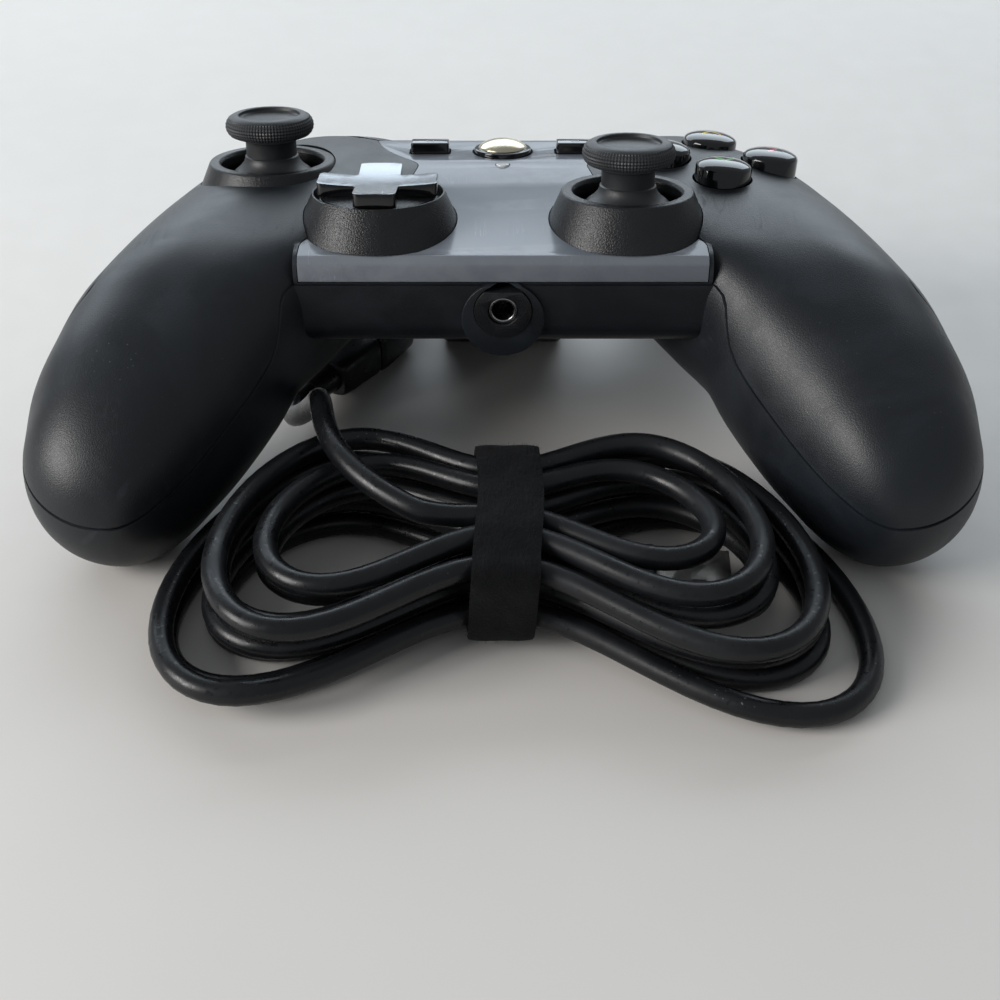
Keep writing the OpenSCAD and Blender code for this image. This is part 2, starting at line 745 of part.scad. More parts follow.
module dpad_gimbal() {
    color("silver") at_dpad() translate([0, 0, -dpad_axis - dpad_sink]) {
        cube([4.4, 4.4, 3], center = true);
        rotate([90, 0, 0]) cylinder(r = trunnion_r, h = 8.2, center = true, $fn = 24);
        rotate([0, 90, 0]) cylinder(r = trunnion_r, h = 8.2, center = true, $fn = 24);
    }
}

module dpad_tower() {
    color("dimgray") at_dpad() difference() {
        union() {
            translate([0, 0, -board_drop]) cylinder(r = 4, h = 1.4, $fn = 32);
            translate([0, 0, -board_drop]) cylinder(r = 2.2, h = board_drop - dpad_low - 3, $fn = 32);
            translate([-4.2, -1.7, -dpad_low - 3.4]) cube([8.4, 3.4, 1]);
            for (s = [-1, 1]) translate([s * 3.4 - 0.8, -1.7, -dpad_low - 3.4]) cube([1.6, 3.4, 4.9]);
        }
        translate([0, 0, -dpad_low]) rotate([0, 90, 0])
            cylinder(r = trunnion_r + pin_gap, h = 20, center = true, $fn = 24);
    }
}

// Rubber mat on the board: a dome under each face button and each arm of the cross
mat_t = 0.8;
dome_h = 2.2;
press = 1.2;
stem_set = 3.2;
flange_top = -5.2;
flange_t = 1.2;
flange_out = 0.9;
mat_gap = board_drop - dome_h - 1;
module mat_dome() { cylinder(r1 = 2.6, r2 = 1.6, h = dome_h, $fn = 32); }
module button_mat() {
    color("darkgray") {
        on_face(pad_x, pad_v - stem_set, -board_drop) {
            linear_extrude(mat_t) rotate(45) square(1.6 * pad_r, center = true);
            for (a = [0 : 90 : 270]) rotate([0, 0, a]) translate([pad_r * 0.96, 0, 0]) mat_dome();
        }
        at_dpad() translate([0, 0, -board_drop]) {
            difference() {
                cylinder(r = well_r + 1.4, h = mat_t, $fn = 48);
                translate([0, 0, -1]) cylinder(r = 4.2, h = 5, $fn = 32);
            }
            for (a = [0 : 90 : 270]) rotate([0, 0, a]) translate([well_r - 1.9, 0, 0])
                cylinder(r1 = 2.2, r2 = 1.5, h = dome_h, $fn = 32);
        }
    }
}

// Face button: domed top, a flange under the shell and a stem down to its rubber dome
module face_button(turn, paint) {
    r = button_d / 2;
    drop = pad_r * sin(turn) * sin(pad_roll);
    foot = board_drop - dome_h - press - 0.3 - drop;
    color(paint) at_pad(turn) {
        rotate_extrude($fn = 48) polygon([
            [0, flange_top - flange_t], [r + flange_out, flange_top - flange_t], [r + flange_out, flange_top],
            [r, flange_top], [r, 0.6], [r * 0.86, 1.4], [r * 0.55, 1.9], [0, 2.1]
        ]);
        translate([0, -stem_set, -foot]) cylinder(r = 1.8, h = foot + flange_top - 0.2, $fn = 32);
    }
}

module button_near() { face_button(180, "green"); }
module button_right() { face_button(90, "red"); }
module button_left() { face_button(270, "blue"); }
module button_far() { face_button(0, "gold"); }

row_foot = board_drop - switch_h - 0.9;
module option_button(x) {
    color("black") on_face(x, row_v) {
        translate([0, 0, -3.6]) linear_extrude(5) offset(r = 0.5, $fn = 16) offset(delta = -0.5)
            square([option_w, option_d], center = true);
        translate([0, 0, -4.6]) linear_extrude(1) square([option_w + 1.2, option_d + 2.4], center = true);
        translate([0, 0, -row_foot]) cylinder(r = 1.2, h = row_foot - 4, $fn = 24);
    }
}
module option_left() { option_button(-option_x); }
module option_right() { option_button(option_x); }

module home_button() {
    r = home_d / 2;
    color([0.75, 0.7, 0.5]) on_face(0, row_v) {
        rotate_extrude($fn = 64) polygon([
            [0, -4.6], [r + 0.8, -4.6], [r + 0.8, -3.6], [r, -3.6], [r, -0.3], [r - 0.5, 0.2],
            [r * 0.82, 0.5],
            [r * 0.5, 1.4], [0, 1.8]
        ]);
        translate([0, 0, -row_foot]) cylinder(r = 1.2, h = row_foot - 4, $fn = 24);
    }
}

// Bumper: the corner of the body form, bored from below at its inner end
module bumper() {
    color([0.03, 0.03, 0.035]) resize([0, 0, 0]) difference() {
        intersection() {
            body_form(0);
            bumper_space(0, 0);
        }
        translate([pin_x, pin_y, bumper_low - 5])
            cylinder(d = bumper_pin_d + 2 * pin_gap, h = pin_deep + 5.3, $fn = 24);
    }
}
module left_bumper() { mirror([1, 0, 0]) bumper(); }
module right_bumper() { bumper(); }

// Trigger: hub on the pin, a blade hollowed by the finger, and a rounded toe
toe_r = 2.4;
spring_wire = 0.7;
spring_turns = 3;
spring_pitch = 1.2;
spring_len = spring_turns * spring_pitch + 1;
notch_r = trigger_pin_d / 2 + 1.8;
module trigger() {
    toe = [trigger_reach - toe_r, trigger_z - 22.5];
    brow = [trigger_y + 6.3, trigger_z - 0.2];
    color([0.03, 0.03, 0.035]) difference() {
        translate([trigger_x + trigger_w / 2, 0, 0]) along_x(trigger_w / 2) difference() {
            union() {
                hull() {
                    translate([trigger_y, trigger_z]) circle(r = 3.1, $fn = 32);
                    translate(brow) circle(r = 3, $fn = 32);
                }
                hull() {
                    translate(brow) circle(r = 3, $fn = 32);
                    translate(toe) circle(r = toe_r, $fn = 32);
                }
            }
            translate([trigger_reach + 19.9, trigger_z - 12]) circle(r = 22.4, $fn = 96);
            translate([trigger_y, trigger_z]) circle(d = trigger_pin_d + 2 * pin_gap, $fn = 32);
        }
        translate([trigger_x - 1, trigger_y, trigger_z]) rotate([0, 90, 0])
            cylinder(r = notch_r, h = spring_len + 2, $fn = 32);
    }
}
module left_trigger() { mirror([1, 0, 0]) trigger(); }
module right_trigger() { trigger(); }

module trigger_pins() {
    color("silver") pair() translate([trigger_x - free_gap - wall + 0.2, trigger_y, trigger_z])
        rotate([0, 90, 0])
        cylinder(d = trigger_pin_d, h = trigger_w + 2 * (free_gap + wall - 0.2), $fn = 32);
}

// Return spring of a trigger: wound round its pin in a notch of the hub, one end along the pocket's wall
module trigger_springs() {
    coil_r = trigger_pin_d / 2 + 0.75;
    steps = 8 * spring_turns;
    color("silver") pair() translate([trigger_x + 0.6, trigger_y, trigger_z]) tube(concat(
        [for (z = [-6, -3, -0.8]) [0, -coil_r, z]],
        [for (i = [0 : steps]) let (a = 180 - 45 * i)
        [spring_pitch * i / 8, coil_r * cos(a), coil_r * sin(a)]],
        [[spring_pitch * spring_turns, -coil_r, 0.8]]
    ), spring_wire / 2, 6);
}

// Headset jack: a sleeve with a true bore, set in a D-shaped trim
jack_trim_d = 9.5;
module headset_jack() {
    color("dimgray") difference() {
        union() {
            translate([0, front_y - 0.5, jack_z]) rotate([-90, 0, 0])
                cylinder(d = jack_bore_d + 1.3, h = jack_depth);
            translate([-3.2, front_y + 3.2, jack_z - 2.8]) cube([6.4, jack_depth - 2.7, 5.6]);
        }
        translate([0, front_y - 1, jack_z]) rotate([-90, 0, 0])
            cylinder(d = jack_bore_d, h = jack_depth - 0.5);
    }
}

module jack_trim() {
    color([0.1, 0.1, 0.105]) difference() {
        intersection() {
            translate([0, front_y - 1, jack_z]) rotate([-90, 0, 0])
                cylinder(d = jack_trim_d, h = 3.6, $fn = 48);
            translate([-10, front_y - 5, jack_z - 10]) cube([20, 20, 13.6]);
        }
        translate([0, front_y - 5, jack_z]) rotate([-90, 0, 0])
            cylinder(d = jack_bore_d + 1.3 + 2 * pin_gap, h = 20, $fn = 48);
    }
}

// Board, with the header that the cord's wires plug into
header_v = 33;
board_half = 51;
board_front = 9;
board_deep = 40;
tongue_half = 20;
function board_v(y) = (y + (board_drop + board_t / 2) * sin(face_tilt)) / cos(face_tilt);
module main_board() {
    color("darkgreen") {
        on_face(0, 0, -board_drop - board_t) linear_extrude(board_t) difference() {
            union() {
                translate([-board_half, -board_front]) square([2 * board_half, board_deep]);
                translate([-tongue_half, board_deep / 2]) square([2 * tongue_half, board_deep / 2 - 5]);
            }
            for (s = screws) translate([s[0], board_v(s[1])]) circle(r = 3.9, $fn = 32);
            translate([-7.4, -20]) square([14.8, 24]);
        }
        on_face(0, header_v, -board_drop) linear_extrude(4.4) square([9, 3], center = true);
    }
}

// Rumble motors across the grips, with an eccentric weight on each shaft
module motor() {
    color("silver") translate([motor_x, motor_y, motor_z]) rotate([0, 90, 0]) {
        cylinder(r = motor_r, h = motor_len, $fn = 48);
        translate([0, 0, motor_len]) cylinder(r = 0.9, h = 7, $fn = 24);
    }
}

big_weight_r = motor_r + 0.4;
small_weight_r = motor_r - 0.2;
module weight(r) {
    color("goldenrod") translate([motor_x + motor_len + 1, motor_y, motor_z]) rotate([0, 90, 0])
        linear_extrude(5.4)
        difference() {
            union() {
                intersection() {
                    circle(r = r, $fn = 48);
                    translate([0, -r]) square([r, 2 * r]);
                }
                circle(r = 2.2, $fn = 32);
            }
            circle(r = 0.9 + pin_gap, $fn = 24);
        }
}
module left_motor() { mirror([1, 0, 0]) motor(); }
module right_motor() { motor(); }
module left_weight() { mirror([1, 0, 0]) weight(big_weight_r); }
module right_weight() { weight(small_weight_r); }

module case_screws() {
    color("silver") at_screws() {
        translate([0, 0, -screw_grip - 1.6]) cylinder(d = screw_head_d, h = 1.6, $fn = 32);
        translate([0, 0, -screw_grip]) cylinder(d = screw_d - 2 * pin_gap, h = screw_len, $fn = 24);
    }
}

// Tube of a given radius swept along a route of points
function unit(v) = v / norm(v);
function heading(route, i) = unit(route[min(i + 1, len(route) - 1)] - route[max(i - 1, 0)]);
function hoop(p, d, r, n) =
    let (
        side = unit(cross(d, abs(d[2]) > 0.9 ? [1, 0, 0] : [0, 0, 1])),
        up = cross(side, d)
    )
    [for (k = [0 : n - 1]) p + r * (side * cos(360 * k / n) + up * sin(360 * k / n))];
module tube(route, r, n) {
    last = len(route) - 1;
    points = concat(
        [for (i = [0 : last]) each hoop(route[i], heading(route, i), r, n)], [route[0], route[last]]
    );
    polyhedron(points, skin_faces(len(route), n), convexity = 8);
}

// Boot: a flange inside the back wall, a ribbed taper outside it and the cord's inner end
boot_len = 14;
boot_flange = 1.4;
module cord_boot() {
    r = boot_d / 2;
    tip = cord_d / 2 + 0.7;
    ribs = 3;
    color([0.05, 0.05, 0.055]) translate([0, back_reach, boot_z]) rotate([-90, 0, 0]) rotate_extrude($fn = 48)
        polygon(concat(
            [[0, -8.6], [cord_d / 2, -8.6], [cord_d / 2, -5], [r + boot_flange, -5],
            [r + boot_flange, -wall - 0.9],
                [r, -wall - 0.9], [r, 2]],
            [for (i = [0 : ribs - 1], k = [0 : 3])
                let (y = 2.6 + 3.4 * i + [0, 0.1, 1.4, 1.5][k], taper = r + (tip - r) * y / boot_len)
                [taper - [0, 0.7, 0.7, 0][k], y]],
            [[tip, boot_len], [0, boot_len]]
        ));
}

// Coupling that pulls apart, lying on the table: two halves with a tongue between them
coupling = [-33.5, 12, 4.5];
coupling_turn = -28.7;
half_len = 12;
relief_len = 6;
module at_coupling() { translate(coupling) rotate([0, 0, coupling_turn]) children(); }
function coupling_point(y) = coupling + [-y * sin(coupling_turn), y * cos(coupling_turn), 0];

module coupling_block(wide, tall, length, swell) {
    rotate([-90, 0, 0]) linear_extrude(length, scale = swell)
        offset(r = 2, $fn = 24) square([wide - 4, tall - 4], center = true);
}

module coupling_plug() {
    color([0.05, 0.05, 0.055]) at_coupling() {
        coupling_block(8.6, 7.4, half_len - 0.1, 1.18);
        translate([-2.8, half_len - 0.1, -1.4]) cube([5.6, 6, 2.8]);
        translate([0, -relief_len, 0]) rotate([-90, 0, 0])
            cylinder(r1 = cord_d / 2 + 0.4, r2 = 3.2, h = relief_len, $fn = 32);
    }
}

module coupling_socket() {
    color([0.05, 0.05, 0.055]) at_coupling() {
        difference() {
            translate([0, half_len + 0.1, 0]) coupling_block(10.4, 8.8, half_len - 0.1, 0.96);
            translate([-2.8 - fit_gap, half_len - 1, -1.4 - fit_gap])
                cube([5.6 + 2 * fit_gap, 8, 2.8 + 2 * fit_gap]);
        }
        translate([0, 2 * half_len, 0]) rotate([-90, 0, 0])
            cylinder(r1 = 3.4, r2 = cord_d / 2 + 0.4, h = relief_len, $fn = 32);
    }
}

floor_z = cord_d / 2 + 0.05;

// Cord from the boot, down behind the body and forward again to the coupling
pigtail_route = concat(
    [[0, back_reach + boot_len, boot_z], [0, back_reach + boot_len + 4, boot_z], [0.2, 66, 23.6]],
    [[0.5, 72, 19.8], [0.8, 78, 14.6], [0.8, 84, 9.2], [0.4, 90, 5], [-1, 96, 2.6]],
    [for (p = [[-4, 101], [-9, 103.6], [-14.6, 102], [-18.6, 97], [-20.4, 90], [-20.4, 82]]) [p[0],
    p[1], floor_z]],
    [for (p = [[-19.4, 74], [-18, 66], [-16.8, 58], [-16.4, 51]]) [p[0], p[1], floor_z]],
    [[-16.6, 45.6, 2.8], coupling_point(2 * half_len + relief_len + 4),
    coupling_point(2 * half_len + relief_len)]
);
module cord_pigtail() { color([0.04, 0.04, 0.045]) tube(pigtail_route, cord_d / 2, 8); }

// Hank: loops drawn in at the waist, wound outwards and inwards again, one layer over the other
hank_y = -47;
hank_reach = bridge_half + 15;
reach_step = 7.9;
reach_fall = 4.7;
fat_front = 25.9;
fat_back = 23.2;
fat_step = 13.1;
fat_fall = 2.7;
waist_half = 0.62 * cord_d;
waist_step = cord_d + 1;
waist_part = 0.6;
back_draw = 0.23;
hank_bow = 9.8;
bow_reach = 60;
layer_step = cord_d + 0.6;
hank_hoist = strap_t + 0.6;
hoist_reach = 18;
loop_rings = 24;

function ease(x) = let (c = min(max(x, 0), 1)) c * c * (3 - 2 * c);
function climb(t, j = 1) = j >= hank_layers ? 0 : ease(2 * (t - j * hank_turns) + 0.5) + climb(t, j + 1);
function hank_point(t) =
    let (
        layer = min(floor(t / hank_turns), hank_layers - 1),
        part = t / hank_turns - layer,
        out = (layer % 2 == 0 ? part : 1 - part) * hank_turns,
        lift = climb(t),
        a = 360 * t - 90,
        back = (1 + sin(a)) / 2,
        pinch = exp(-pow(cos(a) / waist_part, 2)),
        reach = hank_reach + out * reach_step - lift * reach_fall,
        fat = fat_front + (fat_back - fat_front) * back + out * fat_step - lift * fat_fall,
        waist = waist_half + out * waist_step,
        x = -reach * cos(a) * (1 - back_draw * back),
        y = sin(a) * (waist * pinch + fat * (1 - pinch)) - hank_bow * pow(x / bow_reach, 4)
    )
    [x, hank_y + y, floor_z + layer_step * lift + hank_hoist * exp(-pow(x / hoist_reach, 2))];

hank_loops = hank_turns * hank_layers;
hank_first = hank_point(0) + [cord_d, 0, 0];
hank_last = hank_point(hank_loops) - [cord_d, 0, 0];
function hank_route() = concat(
    [hank_first], [for (i = [0 : loop_rings * hank_loops]) hank_point(i / loop_rings)], [hank_last]
);

// Least gap between stretches of a route that lie over a loop's third apart, on points along its
// straight pieces
function finer(route, n) = [for (i = [0 : len(route) - 2], k = [0 : n - 1])
    route[i] + (route[i + 1] - route[i]) * k / n];
function least_gap(points, apart) = min([for (i = [0 : len(points) - 1 - apart])
    min([for (j = [i + apart : len(points) - 1]) norm(points[i] - points[j])])]) - cord_d;

module cord_hank() {
    route = hank_route();
    echo(hank_least_gap = least_gap(finer(route, 4), 4 * 8));
    color([0.04, 0.04, 0.045]) tube(route, cord_d / 2, 6);
}

// Cord from the coupling, over the back of the hank and into its inner turn
lead_route = concat(
    [coupling_point(-relief_len), coupling_point(-relief_len - 4)],
    [[-38.6, -0.6, 4.4], [-37.4, -5.2, 6.8], [-35, -9.8, 10.6], [-32.6, -14.2, 15], [-31, -18.8, 19]],
    [[-30, -24.4, 21], [-28.6, -31, 21.2], [-26.2, -37, 20.8], [-22.4, -42.4, 20], [-17.6, -46.6, 19]],
    [[-12.4, hank_last[1] - 0.1, hank_last[2] + 0.8], hank_last - [cord_d, 0, 0], hank_last]
);
module cord_lead() { color([0.04, 0.04, 0.045]) tube(lead_route, cord_d / 2, 8); }

// Strap round the waist of the hank
bundle_half = max([for (p = finer(hank_route(), 6)) if (abs(p[0]) < strap_w / 2 + 1) abs(p[1] - hank_y)])
    + 0.6 * cord_d + free_gap;
bundle_top = floor_z + cord_d / 2 + layer_step * (hank_layers - 1) + hank_hoist + free_gap;
strap_round = 4;
strap_low = 0.1 + strap_t;
module strap_outline(grow) {
    translate([hank_y, (bundle_top + strap_low) / 2]) offset(r = strap_round + grow, $fn = 48)
        square([2 * (bundle_half - strap_round), bundle_top - strap_low - 2 * strap_round], center = true);
}
module hank_strap() {
    color([0.06, 0.06, 0.065]) along_x(strap_w / 2) difference() {
        strap_outline(strap_t);
        strap_outline(0);
    }
}

// Plug inside the right loop of the hank
plug = [hank_first[0] + 6.4, hank_first[1] + 1.4, 3.5];
plug_turn = -3;
plug_relief = 3.6;
plug_len = 10.4;
plug_w = 13;
plug_t = 6.8;
shell_len = 11.8;
shell_w = 12;
shell_h = 4.5;
module at_plug() { translate(plug) rotate([0, 0, plug_turn]) children(); }

tail_route = [
    plug, plug - 2.1 * [cos(plug_turn), sin(plug_turn), 0], hank_first + [2.1, 0, 0], hank_first
];
module cord_tail() { color([0.04, 0.04, 0.045]) tube(tail_route, cord_d / 2, 8); }

module plug_body() {
    color([0.04, 0.04, 0.045]) at_plug() {
        rotate([0, 90, 0]) cylinder(r1 = cord_d / 2 + 0.4, r2 = 3.3, h = plug_relief, $fn = 32);
        translate([plug_relief, 0, 0]) rotate([90, 0, 90]) linear_extrude(plug_len)
            offset(r = 1.6, $fn = 24) square([plug_w - 3.2, plug_t - 3.2], center = true);
    }
}

module plug_shell() {
    color("silver") at_plug() translate([plug_relief + plug_len, 0, 0]) rotate([90, 0, 90]) difference() {
        linear_extrude(shell_len) square([shell_w, shell_h], center = true);
        translate([0, 0, 1]) linear_extrude(shell_len) square([shell_w - 0.8, shell_h - 0.8], center = true);
        for (x = [-2.9, 2.9]) translate([x, 0, 5.4]) linear_extrude(2.4) square([2.2, 20], center = true);
    }
    color("white") at_plug() translate([plug_relief + plug_len + 1, -shell_w / 2 + 0.4, -1.6])
        cube([shell_len - 2, shell_w - 0.8, 1.8]);
}

top_shell();
bottom_shell();
face_panel();
rear_cover();
left_stick_collar();
right_stick_collar();
dpad_collar();
left_stick_cap();
left_stick_post();
left_stick_rocker();
left_stick_arch();
left_stick_lift();
right_stick_cap();
right_stick_post();
right_stick_rocker();
right_stick_arch();
right_stick_lift();
left_stick_frame();
right_stick_frame();
stick_sensors();
tact_switches();
dpad_cross();
dpad_gimbal();
dpad_tower();
button_mat();
button_near();
button_right();
button_left();
button_far();
option_left();
option_right();
home_button();
status_light();
left_bumper();
right_bumper();
left_trigger();
right_trigger();
trigger_pins();
trigger_springs();
headset_jack();
jack_trim();
main_board();
left_motor();
right_motor();
left_weight();
right_weight();
case_screws();
cord_boot();
cord_pigtail();
coupling_socket();
coupling_plug();
cord_lead();
cord_hank();
hank_strap();
cord_tail();
plug_body();
plug_shell();
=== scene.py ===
import json
import math
import random

import bmesh
import bpy
from mathutils import Matrix, Vector

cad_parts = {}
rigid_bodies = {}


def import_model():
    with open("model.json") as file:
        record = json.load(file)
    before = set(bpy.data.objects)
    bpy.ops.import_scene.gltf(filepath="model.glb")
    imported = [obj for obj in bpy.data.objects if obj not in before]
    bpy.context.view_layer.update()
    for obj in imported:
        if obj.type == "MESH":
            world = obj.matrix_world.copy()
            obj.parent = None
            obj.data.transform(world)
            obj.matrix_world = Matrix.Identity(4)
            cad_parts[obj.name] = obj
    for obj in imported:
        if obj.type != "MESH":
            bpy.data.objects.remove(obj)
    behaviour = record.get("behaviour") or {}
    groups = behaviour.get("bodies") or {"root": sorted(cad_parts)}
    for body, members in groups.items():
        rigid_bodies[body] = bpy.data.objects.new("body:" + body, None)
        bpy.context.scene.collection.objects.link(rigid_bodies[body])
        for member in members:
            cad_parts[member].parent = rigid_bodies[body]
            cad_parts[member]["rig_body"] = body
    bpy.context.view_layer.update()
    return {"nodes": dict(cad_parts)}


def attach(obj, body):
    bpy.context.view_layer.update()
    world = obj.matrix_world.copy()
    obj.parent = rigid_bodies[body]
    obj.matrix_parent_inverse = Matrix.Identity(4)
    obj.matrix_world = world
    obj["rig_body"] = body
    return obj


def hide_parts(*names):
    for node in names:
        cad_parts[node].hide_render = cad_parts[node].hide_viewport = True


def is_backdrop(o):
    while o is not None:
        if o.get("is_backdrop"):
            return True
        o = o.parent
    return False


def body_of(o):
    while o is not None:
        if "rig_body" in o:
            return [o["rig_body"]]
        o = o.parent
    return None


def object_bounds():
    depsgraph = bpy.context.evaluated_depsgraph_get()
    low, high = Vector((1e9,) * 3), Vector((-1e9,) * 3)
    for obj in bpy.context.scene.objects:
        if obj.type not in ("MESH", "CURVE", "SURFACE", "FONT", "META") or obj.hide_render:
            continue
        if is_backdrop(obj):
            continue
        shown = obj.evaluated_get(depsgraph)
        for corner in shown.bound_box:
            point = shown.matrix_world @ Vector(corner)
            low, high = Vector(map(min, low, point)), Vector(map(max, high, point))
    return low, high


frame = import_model()
nodes = frame["nodes"]
mm = 0.001
print("frame loaded:", len(nodes), "nodes")


def placed(name, data):
    piece = bpy.data.objects.new(name, data)
    bpy.context.scene.collection.objects.link(piece)
    return piece


# camera, at the photograph's place and angle
cameraSet = dict(place=(-0.5, -233.7, 154.0), down=36, lens=54, sensor=36, nearest=10)
camera = placed("camera", bpy.data.cameras.new("camera"))
camera.location = Vector(cameraSet["place"]) * mm
camera.rotation_euler = (math.radians(90 - cameraSet["down"]), 0, 0)
camera.data.lens = cameraSet["lens"]
camera.data.sensor_width = cameraSet["sensor"]
camera.data.clip_start = cameraSet["nearest"] * mm
bpy.context.scene.camera = camera


# shape helpers: every size below is in millimetres, and pieces are made in metres
def move(x, y, z=0):
    return Matrix.Translation((x, y, z))


def spun(angle, axis):
    return Matrix.Rotation(math.radians(angle), 4, axis)


def hermite(t, one, two, leave, arrive):
    return (one * (2 * t ** 3 - 3 * t ** 2 + 1) + leave * (t ** 3 - 2 * t ** 2 + t)
            + two * (3 * t ** 2 - 2 * t ** 3) + arrive * (t ** 3 - t ** 2))


def openPiece(name, points, faces, place=None):
    data = bpy.data.meshes.new(name)
    at = place or Matrix()
    data.from_pydata([(at @ Vector(p)) * mm for p in points], [], faces)
    return placed(name, data)


def meshPiece(name, points, faces, place=None):
    piece = openPiece(name, points, faces, place)
    outward(piece)
    return piece


def outward(piece):
    work = bmesh.new()
    work.from_mesh(piece.data)
    bmesh.ops.recalc_face_normals(work, faces=work.faces)
    work.to_mesh(piece.data)
    work.free()


def applyAll(piece):
    shown = piece.evaluated_get(bpy.context.evaluated_depsgraph_get())
    made = bpy.data.meshes.new_from_object(shown)
    old = piece.data
    piece.modifiers.clear()
    piece.data = made
    made.name = piece.name
    bpy.data.meshes.remove(old)


def combine(piece, tool, how="DIFFERENCE", keep=False):
    step = piece.modifiers.new("combine", "BOOLEAN")
    step.operation, step.solver, step.object = how, "MANIFOLD", tool
    bpy.context.view_layer.update()
    applyAll(piece)
    if not keep:
        bpy.data.objects.remove(tool)
    return piece


def copyOf(piece, name):
    return placed(name, piece.data.copy())


def mirrored(piece, name):
    twin = copyOf(piece, name)
    twin.data.transform(Matrix.Diagonal((-1, 1, 1, 1)))
    outward(twin)
    return twin


def joined(name, parts):
    work = bmesh.new()
    for p in parts:
        work.from_mesh(p.data)
    data = bpy.data.meshes.new(name)
    work.to_mesh(data)
    work.free()
    for p in parts:
        bpy.data.objects.remove(p)
    return placed(name, data)


def prism(name, outline, low, high, side=False, place=None):
    n = len(outline)
    points = [(h, p[0], p[1]) if side else (p[0], p[1], h) for h in (low, high) for p in outline]
    faces = [tuple(reversed(range(n))), tuple(range(n, 2 * n))]
    faces += [(i, (i + 1) % n, n + (i + 1) % n, n + i) for i in range(n)]
    return meshPiece(name, points, faces, place)


def block(name, low, high, place=None):
    outline = [(low[0], low[1]), (high[0], low[1]), (high[0], high[1]), (low[0], high[1])]
    return prism(name, outline, low[2], high[2], False, place)


def rectangle(wide, deep):  # from its half sizes
    return [(-wide, -deep), (wide, -deep), (wide, deep), (-wide, deep)]


def ringFaces(rings, count):  # walls between rings of points, and the two ends
    faces = []
    for r in range(0, (rings - 1) * count, count):
        for i in range(count):
            k = (i + 1) % count
            faces.append((r + i, r + k, r + count + k, r + count + i))
    return faces + [tuple(range(count)), tuple(range((rings - 1) * count, rings * count))]


def disc(radius, count, middle=(0, 0)):
    turns = [2 * math.pi * i / count for i in range(count)]
    return [(middle[0] + radius * math.cos(a), middle[1] + radius * math.sin(a)) for a in turns]


def lathe(name, profile, count, place=None, loop=False):
    points, rows, faces = [], [], []
    for r, z in profile:
        if r < 1e-6:
            rows.append([len(points)])
            points.append((0, 0, z))
            continue
        rows.append(list(range(len(points), len(points) + count)))
        for i in range(count):
            a = 2 * math.pi * i / count
            points.append((r * math.cos(a), r * math.sin(a), z))
    pairs = list(zip(rows, rows[1:])) + ([(rows[-1], rows[0])] if loop else [])
    for one, two in pairs:
        for i in range(count):
            k = (i + 1) % count
            corners = [one[i % len(one)], one[k % len(one)], two[k % len(two)], two[i % len(two)]]
            corners = list(dict.fromkeys(corners))
            if len(corners) > 2:
                faces.append(corners)
    return meshPiece(name, points, faces, place)


def rounded(points, radius, steps=4, loop=True):
    made = []
    n = len(points)
    for i, p in enumerate(points):
        if not loop and i in (0, n - 1):
            made.append(p)
            continue
        here, last, after = Vector(p), Vector(points[i - 1]), Vector(points[(i + 1) % n])
        back, ahead = last - here, after - here
        r = radius[i] if isinstance(radius, (list, tuple)) else radius
        reach = min(r, 0.45 * back.length, 0.45 * ahead.length)
        if reach < 1e-4:
            made.append(p)
            continue
        a, b = here + back.normalized() * reach, here + ahead.normalized() * reach
        for k in range(steps + 1):
            t = k / steps
            made.append(tuple(a * (1 - t) ** 2 + here * (2 * t * (1 - t)) + b * t * t))
    return made


def inward(points, depth):
    if depth == 0:
        return points
    area = sum(a[0] * b[1] - b[0] * a[1] for a, b in zip(points, points[1:] + points[:1]))
    turn = 1 if area > 0 else -1
    made = []
    for i, p in enumerate(points):
        last, after = points[i - 1], points[(i + 1) % len(points)]
        d1 = (Vector(p) - Vector(last)).normalized()
        d2 = (Vector(after) - Vector(p)).normalized()
        n1, n2 = Vector((-d1.y, d1.x)) * turn, Vector((-d2.y, d2.x)) * turn
        middle = (n1 + n2).normalized()
        made.append(tuple(Vector(p) + middle * (depth / max(middle.dot(n1), 0.3))))
    return made


def softEdges(piece, width, segments=3, angle=40):
    thin = piece.modifiers.new("flat", "DECIMATE")
    thin.decimate_type, thin.angle_limit = "DISSOLVE", math.radians(1)
    soft = piece.modifiers.new("soft", "BEVEL")
    soft.width, soft.segments = width * mm, segments
    soft.limit_method, soft.angle_limit = "ANGLE", math.radians(angle)
    soft.miter_outer = "MITER_ARC"
    bpy.context.view_layer.update()
    applyAll(piece)
    return piece


def shade(piece, angle=35):
    piece.data.shade_smooth()
    piece.data.set_sharp_from_angle(angle=math.radians(angle))
    return piece


def through(points, step):
    line = []
    spots = [Vector(p) for p in points]
    spots = [2 * spots[0] - spots[1]] + spots + [2 * spots[-1] - spots[-2]]
    for i in range(1, len(spots) - 2):
        p0, p1, p2, p3 = spots[i - 1:i + 3]
        t1 = (p2 - p0) * ((p2 - p1).length / max((p2 - p1).length + (p1 - p0).length, 1e-6))
        t2 = (p3 - p1) * ((p2 - p1).length / max((p3 - p2).length + (p2 - p1).length, 1e-6))
        n = max(1, round((p2 - p1).length / step))
        line += [hermite(k / n, p1, p2, t1, t2) for k in range(n)]
    return line + [spots[-2]]


# cords: the same routes as the solids have
cordSet = dict(thick=3.8, low=1.95, turns=2, layers=4, perLoop=96)
coupling = dict(place=(-33.5, 12, 4.5), turn=-28.7, long=24, relief=6)
couplingAt = move(*coupling["place"]) @ spun(coupling["turn"], "Z")
couplingFar = coupling["long"] + coupling["relief"]


def onCoupling(y):
    return tuple(couplingAt @ Vector((0, y, 0)))


